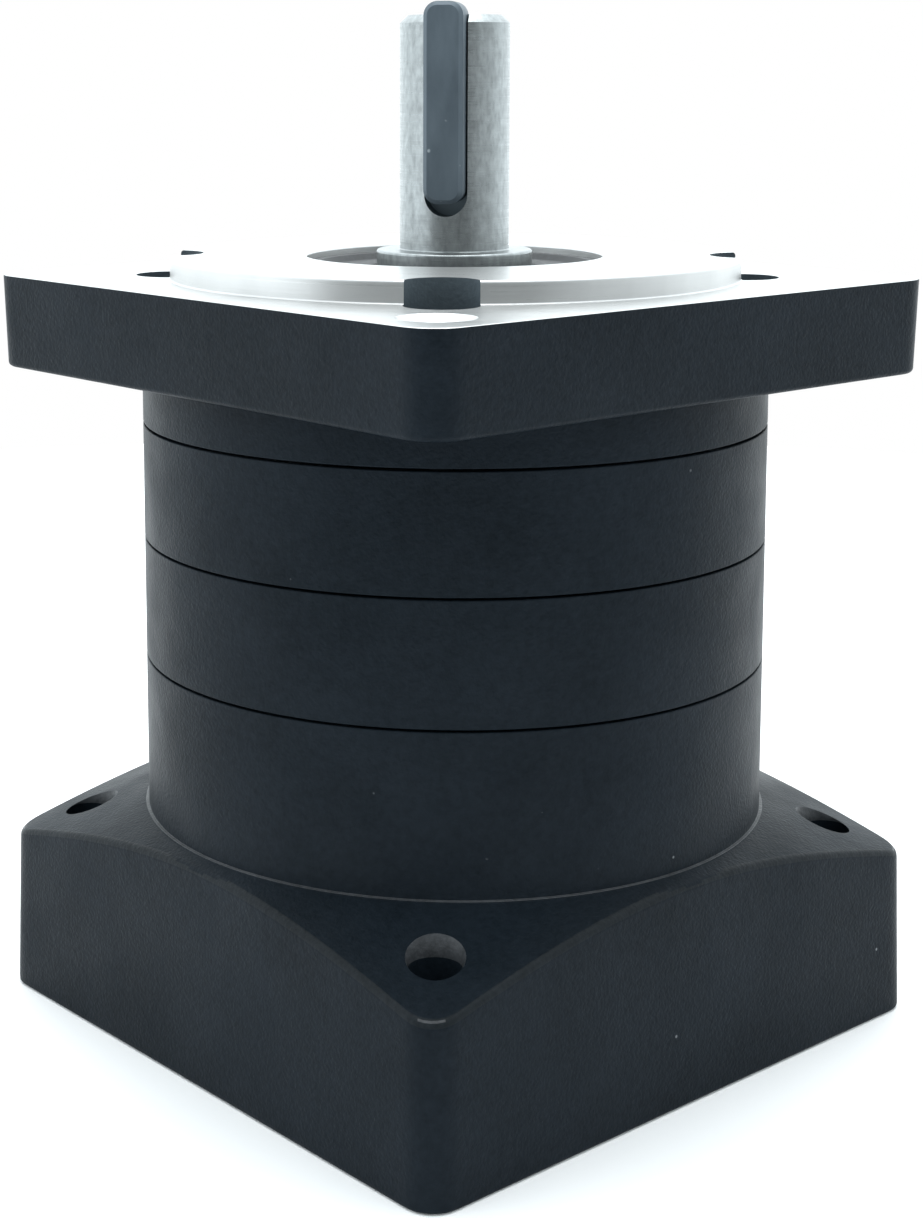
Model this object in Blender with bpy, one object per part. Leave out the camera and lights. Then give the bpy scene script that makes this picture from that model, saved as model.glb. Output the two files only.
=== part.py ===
"""Inline two-stage planetary gear reducer, 86 mm output flange, 25:1.

The output shaft points along +Z and the motor face lies at Z = 0. Each stage is a 12-tooth sun,
three 18-tooth planets and a 48-tooth ring, so each stage divides the speed by five.
Every length below is in millimetres times MM, because Blender works in metres.
"""
import math

import bmesh
import bpy
from mathutils import Matrix, Vector

MM = 0.001
GAP = 0.3 * MM                     # clearance left between pieces that touch

# Casing stack, from the motor face upwards.
ADAPTER_SIDE = 86.0 * MM           # square motor adapter, at the motor face
ADAPTER_DRAFT = 0.0225             # each of its sides leans in by this much per unit of height
ADAPTER_CORNER = 4.0 * MM
BODY_RADIUS = 40.2 * MM            # round barrel of every casing segment
CONE_TOP = 28.2 * MM               # the barrel runs into the adapter's cone here
CONE_SLOPE = 0.355                 # fall of the cone per unit of radius
SEAM_HEIGHTS = (48.3 * MM, 63.7 * MM, 78.5 * MM)
SPIGOT_INNER = 31.9 * MM           # centring spigots between the segments
SPIGOT_OUTER = 32.9 * MM
SPIGOT_HEIGHT = 2.0 * MM
FLANGE_SIDE = 86.0 * MM
FLANGE_CORNER = 4.5 * MM
FLANGE_BOTTOM = 84.7 * MM
FLANGE_TOP = 96.7 * MM
FLANGE_DRAFT = 0.3 * MM
PILOT_RADIUS = 36.5 * MM
PILOT_TOP = 99.5 * MM
PILOT_CHAMFER = 0.4 * MM

# Fastening pattern.
BOLT_CIRCLE = 49.2 * MM            # radius, on the diagonals: a 69.6 mm square
FLANGE_THREAD = 3.4 * MM           # M8 tapping drill
FLANGE_THREAD_CHAMFER = 4.5 * MM
MOTOR_HOLE = 3.05 * MM
MOTOR_COUNTERSINK = 4.1 * MM
MOTOR_RECESS_RADIUS = 36.6 * MM
MOTOR_RECESS_DEPTH = 3.0 * MM
TIE_CIRCLE = 37.0 * MM
TIE_POCKET_RADIUS = 4.4 * MM
TIE_HEAD_BOTTOM = 89.3 * MM
TIE_END = 34.3 * MM

# Output shaft and its key.
SHAFT_RADIUS = 7.0 * MM
SHAFT_TOP = 129.85 * MM
SHAFT_CHAMFER = 1.0 * MM
COLLAR_RADIUS = 10.0 * MM
COLLAR_TOP = 100.2 * MM
KEY_WIDTH = 5.0 * MM
KEY_HEIGHT = 5.0 * MM
KEY_LENGTH = 25.0 * MM
KEY_TOP = 131.4 * MM
KEY_FLOOR = 4.0 * MM               # radius of the key's underside
KEY_SLOT_EXTRA = 1.7 * MM          # free length of the slot below the key
KEY_ANGLE = math.radians(-52.6)

# Gears: the same module, teeth and planet circle in both stages.
MODULE = 1.25 * MM
SUN_TEETH = 12
PLANET_TEETH = 18
RING_TEETH = 48
PRESSURE_ANGLE = math.radians(20)
FLANK_RELIEF = 0.3 * MM            # tooth thickness taken off each gear
PLANET_COUNT = 3
PLANET_CIRCLE = (SUN_TEETH + PLANET_TEETH) * MODULE / 2
FIRST_PLANET_ANGLE = math.radians(90)
PIN_RADIUS = 3.0 * MM
BUSH_RADIUS = 4.7 * MM
PILLAR_CIRCLE = 20.0 * MM
PILLAR_RADIUS = 4.0 * MM
CARRIER_RADIUS = 24.7 * MM
SUN_CLEARANCE_RADIUS = 9.5 * MM
SUN_SHANK = 5.0 * MM

# Bearings: bore radius, outer radius, width, lowest face, ball radius, ball count.
FRONT_BEARING = (10.0 * MM, 16.0 * MM, 7.0 * MM, 85.1 * MM, 1.6 * MM, 9)
REAR_BEARING = (25.0 * MM, 32.5 * MM, 7.0 * MM, 77.3 * MM, 2.0 * MM, 14)
INPUT_BEARING = (12.5 * MM, 21.0 * MM, 9.0 * MM, 36.3 * MM, 2.5 * MM, 8)

# Seals: bore radius, outer radius, lowest face, highest face.
OUTPUT_SEAL = (10.3 * MM, 19.0 * MM, 93.7 * MM, 98.5 * MM)
INPUT_SEAL = (13.3 * MM, 18.5 * MM, 28.3 * MM, 34.3 * MM)

# Input side: hub, collar and reducing sleeve around the motor shaft.
MOTOR_SHAFT_RADIUS = 7.0 * MM
CAVITY_RADIUS = 28.0 * MM
CAVITY_TOP = 27.8 * MM
HUB_RADIUS = 14.0 * MM
HUB_BOTTOM = 5.0 * MM
HUB_TOP = 47.0 * MM
HUB_BORE = 8.3 * MM
SLIT_WIDTH = 1.5 * MM
COLLAR_CLAMP_RADIUS = 24.0 * MM
COLLAR_CLAMP_BOTTOM = 7.0 * MM
COLLAR_CLAMP_TOP = 19.0 * MM
CLAMP_SCREW_OFFSET = 19.2 * MM
CLAMP_SCREW_HEIGHT = 13.0 * MM
ACCESS_HOLE_RADIUS = 5.3 * MM

# Planet stages: carrier plate faces and gear faces along Z.
OUTPUT_STAGE = {
    "gear": (66.1 * MM, 75.6 * MM),
    "plate": (62.2 * MM, 64.9 * MM),
    "pin_top": 82.3 * MM,
    "carrier_face": 76.2 * MM,
}
INPUT_STAGE = {
    "gear": (50.9 * MM, 58.3 * MM),
    "plate": (47.6 * MM, 50.3 * MM),
    "pin_top": 61.3 * MM,
    "carrier_face": 58.9 * MM,
}
INPUT_CARRIER_TOP = 61.6 * MM

FINE = 48                          # facets around the casings
MEDIUM = 32
COARSE = 24
SMALL = 10

PAINT = ("black_paint", (0.020, 0.024, 0.030), 0.42, 0.0)
GROUND = ("ground_steel", (0.52, 0.54, 0.56), 0.26, 1.0)
GEAR_STEEL = ("gear_steel", (0.40, 0.41, 0.43), 0.36, 1.0)
BEARING_STEEL = ("bearing_steel", (0.62, 0.63, 0.65), 0.18, 1.0)
KEY_STEEL = ("key_steel", (0.085, 0.105, 0.125), 0.48, 0.6)
BLACK_SCREW = ("black_oxide", (0.030, 0.030, 0.032), 0.45, 0.8)
NITRILE = ("nitrile_rubber", (0.050, 0.052, 0.055), 0.70, 0.0)
BRONZE = ("bush_bronze", (0.46, 0.30, 0.14), 0.38, 1.0)
PLUG_PLASTIC = ("plug_plastic", (0.015, 0.015, 0.016), 0.55, 0.0)


def clear_scene():
    for item in list(bpy.data.objects):
        bpy.data.objects.remove(item, do_unlink=True)


def material(spec):
    name, colour, roughness, metallic = spec
    made = bpy.data.materials.get(name) or bpy.data.materials.new(name)
    made.use_nodes = True
    shader = made.node_tree.nodes["Principled BSDF"]
    shader.inputs["Base Color"].default_value = (*colour, 1.0)
    shader.inputs["Roughness"].default_value = roughness
    shader.inputs["Metallic"].default_value = metallic
    made.diffuse_color = (*colour, 1.0)
    return made


def add_object(name, mesh, spec=None):
    """Link a mesh as an object; with no material spec it becomes a hidden cutter."""
    made = bpy.data.objects.new(name, mesh)
    bpy.context.collection.objects.link(made)
    if spec is None:
        made.hide_render = True
        made.display_type = "WIRE"
        return made
    mesh.materials.append(material(spec))
    mesh.shade_smooth()
    mesh.set_sharp_from_angle(angle=math.radians(32))
    return made


def finish_mesh(name, mesh_data):
    bmesh.ops.recalc_face_normals(mesh_data, faces=mesh_data.faces)
    mesh = bpy.data.meshes.new(name)
    mesh_data.to_mesh(mesh)
    mesh_data.free()
    return mesh


def ring_points(radius, height, segments):
    points = []
    for step in range(segments):
        angle = 2 * math.pi * (step + 0.5) / segments
        points.append(Vector((radius * math.cos(angle), radius * math.sin(angle), height)))
    return points


def add_turned(target, profile, segments, place=Matrix()):
    """Add a turned solid. The profile lists (radius, height); a radius of 0 makes a pole."""
    rows = []
    for radius, height in profile:
        if radius == 0:
            rows.append([target.verts.new(place @ Vector((0, 0, height)))])
        else:
            rows.append([target.verts.new(place @ point) for point in ring_points(radius, height, segments)])
    closed = len(rows[0]) > 1
    pairs = list(zip(rows, rows[1:]))
    if closed:
        pairs.append((rows[-1], rows[0]))
    for lower, upper in pairs:
        for step in range(segments):
            after = (step + 1) % segments
            corners = [lower[step % len(lower)], lower[after % len(lower)],
                       upper[after % len(upper)], upper[step % len(upper)]]
            unique = list(dict.fromkeys(corners))
            target.faces.new(unique)


def turned_mesh(name, profile, segments, place=Matrix()):
    made = bmesh.new()
    add_turned(made, profile, segments, place)
    return finish_mesh(name, made)


def turned(name, profile, segments, spec):
    return add_object(name, turned_mesh(name, profile, segments), spec)


def rounded_square(side, corner, steps=5):
    """Outline of a square with round corners, its sides along X and Y."""
    inner = side / 2 - corner
    points = []
    for quarter in range(4):
        start = quarter * math.pi / 2
        centre_x = inner * math.sqrt(2) * math.cos(start + math.pi / 4)
        centre_y = inner * math.sqrt(2) * math.sin(start + math.pi / 4)
        for step in range(steps + 1):
            angle = start + step * math.pi / 2 / steps
            points.append((centre_x + corner * math.cos(angle), centre_y + corner * math.sin(angle)))
    return points


def add_loft(target, lower_outline, lower_z, upper_outline, upper_z, place=Matrix()):
    """Add a closed solid between two outlines that have the same number of points."""
    lower = [target.verts.new(place @ Vector((x, y, lower_z))) for x, y in lower_outline]
    upper = [target.verts.new(place @ Vector((x, y, upper_z))) for x, y in upper_outline]
    count = len(lower)
    for step in range(count):
        after = (step + 1) % count
        target.faces.new((lower[step], lower[after], upper[after], upper[step]))
    target.faces.new(list(reversed(lower)))
    target.faces.new(upper)


def add_box(target, low, high, place=Matrix()):
    outline = [(low[0], low[1]), (high[0], low[1]), (high[0], high[1]), (low[0], high[1])]
    add_loft(target, outline, low[2], outline, high[2], place)


def boolean(target, cutter, operation="DIFFERENCE"):
    step = target.modifiers.new(cutter.name, "BOOLEAN")
    step.operation = operation
    step.solver = "EXACT"
    step.object = cutter


def cut(target, name, fill):
    """Subtract from target the solids that fill adds to an empty bmesh."""
    shape = bmesh.new()
    fill(shape)
    boolean(target, add_object(name, finish_mesh(name, shape)))


def around(radius, angle, height=0.0):
    return Matrix.Translation((radius * math.cos(angle), radius * math.sin(angle), height))


def corner_angles():
    return [math.radians(45 + 90 * quarter) for quarter in range(4)]


def planet_angles(offset=0.0):
    return [FIRST_PLANET_ANGLE + offset + 2 * math.pi * k / PLANET_COUNT for k in range(PLANET_COUNT)]


# Gears

def involute(angle):
    return math.tan(angle) - angle


def tooth_half_angle(teeth, radius, half_thickness):
    """Half the angle that one tooth spans at a radius, on an involute flank."""
    pitch = teeth * MODULE / 2
    base = pitch * math.cos(PRESSURE_ANGLE)
    at_radius = math.acos(min(1.0, base / radius)) if radius > base else 0.0
    return half_thickness / pitch + involute(PRESSURE_ANGLE) - involute(at_radius)


def gear_outline(teeth, tip, root, half_thickness):
    """Outline of a gear that has a tooth centred on angle 0: four points for each tooth."""
    points = []
    for tooth in range(teeth):
        centre = 2 * math.pi * tooth / teeth
        for side, radius in ((-1, root), (-1, tip), (1, tip), (1, root)):
            angle = centre + side * tooth_half_angle(teeth, radius, half_thickness)
            points.append((radius * math.cos(angle), radius * math.sin(angle)))
    return points


def external_gear_outline(teeth):
    pitch = teeth * MODULE / 2
    half_thickness = (math.pi * MODULE / 2 - FLANK_RELIEF) / 2
    return gear_outline(teeth, pitch + MODULE, pitch - 1.25 * MODULE, half_thickness)


def internal_space_outline():
    """The space inside a ring gear: an external gear whose teeth are the ring's gaps."""
    pitch = RING_TEETH * MODULE / 2
    half_space = (math.pi * MODULE / 2 + FLANK_RELIEF) / 2
    return gear_outline(RING_TEETH, pitch + 1.25 * MODULE, pitch - MODULE, half_space)


def turn_outline(outline, angle):
    turn = Matrix.Rotation(angle, 2)
    return [tuple(turn @ Vector(point)) for point in outline]


def sun_gear(name, teeth_bottom, teeth_top, shank):
    """A sun pinion: its teeth, and the turned shank below them."""
    made = bmesh.new()
    outline = turn_outline(external_gear_outline(SUN_TEETH), FIRST_PLANET_ANGLE)
    add_loft(made, outline, teeth_bottom, outline, teeth_top)
    pinion = add_object(name, finish_mesh(name, made), GEAR_STEEL)
    shank_mesh = turned_mesh(name + "_shank", shank, COARSE)
    boolean(pinion, add_object(name + "_shank", shank_mesh), "UNION")
    return pinion


def planet_gear(name, angle, stage):
    """A planet with a tooth gap facing the axis; its origin is on its pin's axis."""
    bottom, top = stage["gear"]
    half = (top - bottom) / 2
    made = bmesh.new()
    outline = turn_outline(external_gear_outline(PLANET_TEETH), angle + math.pi / PLANET_TEETH)
    add_loft(made, outline, -half, outline, half)
    gear = add_object(name, finish_mesh(name, made), GEAR_STEEL)
    place = around(PLANET_CIRCLE, angle, bottom + half)
    gear.matrix_world = place
    bore = turned_mesh(name + "_bore", rod(BUSH_RADIUS + GAP, -2 * half, 2 * half), SMALL)
    cutter = add_object(name + "_bore", bore)
    cutter.matrix_world = place
    boolean(gear, cutter)
    return gear


def rod(radius, bottom, top):
    return [(0, bottom), (radius, bottom), (radius, top), (0, top)]


def tube(inner, outer, bottom, top):
    return [(inner, bottom), (outer, bottom), (outer, top), (inner, top)]


def planet_set(prefix, stage):
    """Planets, bushes and pins of one stage."""
    bottom, top = stage["gear"]
    plate_bottom = stage["plate"][0]
    for number, angle in enumerate(planet_angles(), start=1):
        planet_gear(f"{prefix}_planet_gear_{number}", angle, stage)
        place = around(PLANET_CIRCLE, angle, bottom)
        bush = turned(f"{prefix}_planet_bush_{number}",
                      tube(PIN_RADIUS + GAP, BUSH_RADIUS, 0, top - bottom), SMALL, BRONZE)
        bush.matrix_world = place
        pin_bottom = plate_bottom + GAP - bottom
        pin = turned(f"{prefix}_planet_pin_{number}",
                     rod(PIN_RADIUS, pin_bottom, stage["pin_top"] - bottom), SMALL, BEARING_STEEL)
        pin.matrix_world = place


def add_pillars(target, bottom, top):
    for angle in planet_angles(math.pi / PLANET_COUNT):
        add_turned(target, rod(PILLAR_RADIUS, bottom, top), SMALL, around(PILLAR_CIRCLE, angle))


def pin_holes(stage):
    """Holes that the planet pins are pressed into, shared by a carrier's plate and its body."""
    bottom = stage["plate"][0]

    def fill(shape):
        for angle in planet_angles():
            add_turned(shape, rod(PIN_RADIUS + GAP, bottom - 1 * MM, stage["pin_top"] + GAP), SMALL,
                       around(PLANET_CIRCLE, angle))

    return fill


def carrier_plate(prefix, stage):
    bottom, top = stage["plate"]
    plate = turned(f"{prefix}_carrier_plate", tube(SUN_CLEARANCE_RADIUS, CARRIER_RADIUS, bottom, top),
                   COARSE, GEAR_STEEL)
    cut(plate, f"{prefix}_carrier_plate_holes", pin_holes(stage))


# Bearings and seals

def bearing_ring(name, back, pitch, ball, bottom, width):
    """One race as a plain ring. back is its cylindrical face, inside or outside the ball circle."""
    race = pitch + math.copysign(ball + GAP, back - pitch)
    profile = tube(min(back, race), max(back, race), bottom, bottom + width)
    turned(name, profile, COARSE, BEARING_STEEL)


def ball_cage(name, pitch, ball, count, height):
    """Balls joined by their cage: a ring whose section swells to a ball at each pocket."""
    made = bmesh.new()
    sides = 6
    sections = []
    for number in range(count):
        centre = 2 * math.pi * number / count
        for part in (-0.9, 0.0, 0.9):
            swell = ball * math.sqrt(1 - part * part)
            sections.append((centre + part * ball / pitch, swell))
    rows = []
    for angle, swell in sections:
        row = []
        for step in range(sides):
            turn = 2 * math.pi * step / sides
            radius = pitch + swell * math.cos(turn)
            row.append(made.verts.new((radius * math.cos(angle), radius * math.sin(angle),
                                       height + swell * math.sin(turn))))
        rows.append(row)
    for first, second in zip(rows, rows[1:] + rows[:1]):
        for step in range(sides):
            after = (step + 1) % sides
            made.faces.new((first[step], first[after], second[after], second[step]))
    return add_object(name, finish_mesh(name, made), BEARING_STEEL)


def bearing(prefix, size):
    bore, outer, width, bottom, ball, count = size
    pitch = (bore + outer) / 2
    bearing_ring(f"{prefix}_bearing_outer_ring", outer, pitch, ball, bottom, width)
    bearing_ring(f"{prefix}_bearing_inner_ring", bore, pitch, ball, bottom, width)
    ball_cage(f"{prefix}_bearing_ball_cage", pitch, ball, count, bottom + width / 2)


def oil_seal(name, size, facing):
    """Lip seal. facing is 1 when its outer face looks up, -1 when it looks down."""
    bore, outer, bottom, top = size
    front, back = (top, bottom) if facing > 0 else (bottom, top)
    depth = facing * 0.6 * MM
    profile = [(outer, back), (outer, front), (outer - 1.3 * MM, front), (outer - 1.9 * MM, front - depth),
               (bore + 1.6 * MM, front - depth),
               (bore, front - 1.6 * depth), (bore, back)]
    return turned(name, profile, COARSE, NITRILE)


def open_ring(name, inner, outer, bottom, top, gap_width, gap_angle, segments, spec):
    """A ring with a straight gap sawn through one side, such as a circlip or a slit sleeve."""
    ring = turned(name, tube(inner, outer, bottom, top), segments, spec)
    slot = Matrix.Rotation(gap_angle, 4, "Z")

    def fill(shape):
        add_box(shape, (0, -gap_width / 2, bottom - 1 * MM), (2 * outer, gap_width / 2, top + 1 * MM), slot)

    cut(ring, name + "_gap", fill)
    return ring


# Casings

def tie_screw_space(shape):
    """Pocket, clearance hole and tapped hole for the four long tie screws."""
    profile = [(0, TIE_END - 0.5 * MM), (2.3 * MM, TIE_END - 0.5 * MM),
               (2.3 * MM, TIE_HEAD_BOTTOM - GAP), (TIE_POCKET_RADIUS, TIE_HEAD_BOTTOM - GAP),
               (TIE_POCKET_RADIUS, PILOT_TOP + 5 * MM), (0, PILOT_TOP + 5 * MM)]
    for angle in corner_angles():
        add_turned(shape, profile, SMALL, around(TIE_CIRCLE, angle))


def square_trim(target, name, bottom_side, bottom, top_side, top, corner):
    """Keep only what lies inside a rounded square prism."""
    shape = bmesh.new()
    add_loft(shape, rounded_square(bottom_side, corner), bottom, rounded_square(top_side, corner), top)
    boolean(target, add_object(name, finish_mesh(name, shape)), "INTERSECT")


def flange_side_at(height):
    """The flange narrows downwards by its casting draft."""
    return FLANGE_SIDE - 2 * FLANGE_DRAFT * (FLANGE_TOP - height) / (FLANGE_TOP - FLANGE_BOTTOM)


def output_flange_housing():
    seam = SEAM_HEIGHTS[2] + GAP / 2
    outside = [
        (0, seam),
        (BODY_RADIUS, seam),
        (BODY_RADIUS, FLANGE_BOTTOM),
        (FLANGE_SIDE, FLANGE_BOTTOM),
        (FLANGE_SIDE, FLANGE_TOP),
        (PILOT_RADIUS, FLANGE_TOP),
        (PILOT_RADIUS, PILOT_TOP - PILOT_CHAMFER),
        (PILOT_RADIUS - PILOT_CHAMFER, PILOT_TOP),
        (0, PILOT_TOP),
    ]
    housing = turned("output_flange_housing", outside, FINE, PAINT)
    trim_bottom, trim_top = FLANGE_BOTTOM - 10 * MM, PILOT_TOP + 5 * MM
    square_trim(housing, "flange_square", flange_side_at(trim_bottom), trim_bottom,
                flange_side_at(trim_top), trim_top, FLANGE_CORNER)

    def bores(shape):
        """Stepped bore: rear bearing, front bearing, shaft ledge, oil seal."""
        front_bore, front_outer, front_width, front_bottom = FRONT_BEARING[:4]
        rear_outer = REAR_BEARING[1] + GAP
        rear_top = REAR_BEARING[3] + REAR_BEARING[2] + GAP
        front_top = front_bottom + front_width + GAP
        seal_bottom = OUTPUT_SEAL[2] - GAP
        add_turned(shape, [
            (0, seam - 5 * MM),
            (rear_outer, seam - 5 * MM),
            (rear_outer, rear_top),
            (front_outer + GAP, rear_top),
            (front_outer + GAP, front_top),
            (front_bore + 4 * MM, front_top),
            (front_bore + 4 * MM, seal_bottom),
            (OUTPUT_SEAL[1] + GAP, seal_bottom),
            (OUTPUT_SEAL[1] + GAP, PILOT_TOP + 5 * MM),
            (0, PILOT_TOP + 5 * MM),
        ], COARSE)

    cut(housing, "flange_bores", bores)

    def holes(shape):
        tie_screw_space(shape)
        depth = FLANGE_THREAD_CHAMFER - FLANGE_THREAD
        profile = [(0, FLANGE_BOTTOM - 1 * MM), (FLANGE_THREAD, FLANGE_BOTTOM - 1 * MM),
                   (FLANGE_THREAD, FLANGE_TOP - depth), (FLANGE_THREAD_CHAMFER, FLANGE_TOP),
                   (FLANGE_THREAD_CHAMFER, FLANGE_TOP + 1 * MM), (0, FLANGE_TOP + 1 * MM)]
        for angle in corner_angles():
            add_turned(shape, profile, SMALL, around(BOLT_CIRCLE, angle))

    cut(housing, "flange_holes", holes)


def ring_gear(name, profile):
    """A casing segment with internal teeth; a ring tooth points at each planet."""
    segment = turned(name, profile, FINE, PAINT)

    def fill(shape):
        tie_screw_space(shape)
        outline = turn_outline(internal_space_outline(), FIRST_PLANET_ANGLE + math.pi / RING_TEETH)
        add_loft(shape, outline, SEAM_HEIGHTS[0] - 10 * MM, outline, SEAM_HEIGHTS[2] + 10 * MM)

    cut(segment, name + "_spaces", fill)


def ring_gears():
    tip = (RING_TEETH / 2 - 1) * MODULE - 1 * MM     # inside the teeth, so the cutter shapes them
    counterbore = SPIGOT_OUTER + GAP
    lower, middle, upper = SEAM_HEIGHTS
    half_gap = GAP / 2
    ring_gear("input_ring_gear", [
        (tip, lower + SPIGOT_HEIGHT + half_gap),
        (counterbore, lower + SPIGOT_HEIGHT + half_gap),
        (counterbore, lower + half_gap),
        (BODY_RADIUS, lower + half_gap),
        (BODY_RADIUS, middle - half_gap),
        (counterbore, middle - half_gap),
        (counterbore, middle - SPIGOT_HEIGHT - 3 * half_gap),
        (tip, middle - SPIGOT_HEIGHT - 3 * half_gap),
    ])
    rear_outer, rear_bottom = REAR_BEARING[1], REAR_BEARING[3]
    ring_gear("output_ring_gear", [
        (tip, middle + half_gap),
        (SPIGOT_INNER, middle + half_gap),
        (SPIGOT_INNER, middle - SPIGOT_HEIGHT),
        (SPIGOT_OUTER, middle - SPIGOT_HEIGHT),
        (SPIGOT_OUTER, middle + half_gap),
        (BODY_RADIUS, middle + half_gap),
        (BODY_RADIUS, upper - half_gap),
        (rear_outer + GAP, upper - half_gap),
        (rear_outer + GAP, rear_bottom - GAP),
        (tip, rear_bottom - GAP),
    ])


def adapter_side_at(height):
    return ADAPTER_SIDE - 2 * ADAPTER_DRAFT * height


def motor_adapter():
    seam = SEAM_HEIGHTS[0] - GAP / 2
    web_top = 47.2 * MM
    reach = ADAPTER_SIDE
    outside = [
        (0, 0),
        (reach, 0),
        (reach, CONE_TOP - CONE_SLOPE * (reach - BODY_RADIUS)),
        (BODY_RADIUS, CONE_TOP),
        (BODY_RADIUS, seam),
        (SPIGOT_OUTER, seam),
        (SPIGOT_OUTER, seam + SPIGOT_HEIGHT),
        (SPIGOT_INNER, seam + SPIGOT_HEIGHT),
        (SPIGOT_INNER, web_top),
        (0, web_top),
    ]
    adapter = turned("motor_adapter", outside, FINE, PAINT)
    square_trim(adapter, "adapter_square", ADAPTER_SIDE, 0, adapter_side_at(60 * MM), 60 * MM, ADAPTER_CORNER)

    def bores(shape):
        """Stepped bore: motor recess, coupling cavity, input seal, ledge, bearing with its circlip groove."""
        seal_bore, bearing_bore = INPUT_SEAL[1] + GAP, INPUT_BEARING[1] + GAP
        bearing_bottom = INPUT_BEARING[3] - GAP
        ledge = seal_bore - 2.8 * MM
        add_turned(shape, [
            (0, -5 * MM),
            (MOTOR_RECESS_RADIUS, -5 * MM),
            (MOTOR_RECESS_RADIUS, MOTOR_RECESS_DEPTH),
            (CAVITY_RADIUS, MOTOR_RECESS_DEPTH),
            (CAVITY_RADIUS, CAVITY_TOP),
            (seal_bore, CAVITY_TOP),
            (seal_bore, INPUT_SEAL[3] + GAP),
            (ledge, INPUT_SEAL[3] + GAP),
            (ledge, bearing_bottom),
            (bearing_bore, bearing_bottom),
            (bearing_bore, 45.45 * MM),
            (bearing_bore + 1 * MM, 45.45 * MM),
            (bearing_bore + 1 * MM, 46.8 * MM),
            (bearing_bore, 46.8 * MM),
            (bearing_bore, web_top + 5 * MM),
            (0, web_top + 5 * MM),
        ], COARSE)

    cut(adapter, "adapter_bores", bores)

    def holes(shape):
        tie_screw_space(shape)
        rim = CONE_TOP - CONE_SLOPE * (BOLT_CIRCLE - BODY_RADIUS)
        profile = [(0, -1 * MM), (MOTOR_HOLE, -1 * MM), (MOTOR_HOLE, rim - 1.4 * MM),
                   (MOTOR_COUNTERSINK, rim + 0.8 * MM), (MOTOR_COUNTERSINK, CONE_TOP + 2 * MM),
                   (0, CONE_TOP + 2 * MM)]
        for angle in corner_angles():
            add_turned(shape, profile, SMALL, around(BOLT_CIRCLE, angle))
        across = Matrix.Translation((CLAMP_SCREW_OFFSET, 0, CLAMP_SCREW_HEIGHT))
        across = across @ Matrix.Rotation(math.radians(-90), 4, "X")
        add_turned(shape, rod(ACCESS_HOLE_RADIUS, CAVITY_RADIUS / 2, ADAPTER_SIDE), SMALL, across)

    cut(adapter, "adapter_holes", holes)


def hex_socket(shape, across_flats, bottom, top, place):
    corner = across_flats / math.sqrt(3)
    outline = [(corner * math.cos(math.radians(60 * k)), corner * math.sin(math.radians(60 * k)))
               for k in range(6)]
    add_loft(shape, outline, bottom, outline, top, place)


def socket_screw(name, place, radius, length, head_radius, head_height, across_flats, spec):
    """Socket head screw along its own Z: the shank ends at 0, the head is on top."""
    profile = [(0, 0), (radius - 0.4 * MM, 0), (radius, 0.5 * MM), (radius, length), (head_radius, length),
               (head_radius, length + head_height), (0, length + head_height)]
    screw = turned(name, profile, SMALL, spec)
    screw.matrix_world = place

    def fill(shape):
        hex_socket(shape, across_flats, length + head_height * 0.45, length + head_height * 2, place)

    cut(screw, name + "_socket", fill)
    return screw


def tie_screws():
    for number, angle in enumerate(corner_angles(), start=1):
        socket_screw(f"tie_screw_{number}", around(TIE_CIRCLE, angle, TIE_END), 2.0 * MM,
                     TIE_HEAD_BOTTOM - TIE_END, 3.5 * MM, 4.0 * MM, 3.0 * MM, BLACK_SCREW)


def access_plug():
    place = Matrix.Translation((CLAMP_SCREW_OFFSET, ADAPTER_SIDE / 2 - 9 * MM, CLAMP_SCREW_HEIGHT))
    place = place @ Matrix.Rotation(math.radians(-90), 4, "X")
    depth = 8.5 * MM
    plug = turned("access_plug", rod(ACCESS_HOLE_RADIUS - GAP, 0, depth), SMALL, PLUG_PLASTIC)
    plug.matrix_world = place

    def fill(shape):
        hex_socket(shape, 5 * MM, depth / 2, depth * 2, place)

    cut(plug, "access_plug_socket", fill)


# Output shaft

def key_outline(width, bottom, top):
    """Stadium shape in the YZ plane, written as (across, height) points."""
    radius = width / 2
    points = []
    for centre, start in ((top - radius, 0), (bottom + radius, 180)):
        for step in range(9):
            angle = math.radians(start + 180 * step / 8)
            points.append((radius * math.cos(angle), centre + radius * math.sin(angle)))
    return points


def add_key_shape(shape, width, bottom, top, floor, height):
    """Extrude the key's outline along the radius, at the key's angle around the shaft."""
    stand = Matrix(((0, 0, 1, 0), (1, 0, 0, 0), (0, 1, 0, 0), (0, 0, 0, 1)))
    outline = key_outline(width, bottom, top)
    add_loft(shape, outline, floor, outline, floor + height, Matrix.Rotation(KEY_ANGLE, 4, "Z") @ stand)


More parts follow.
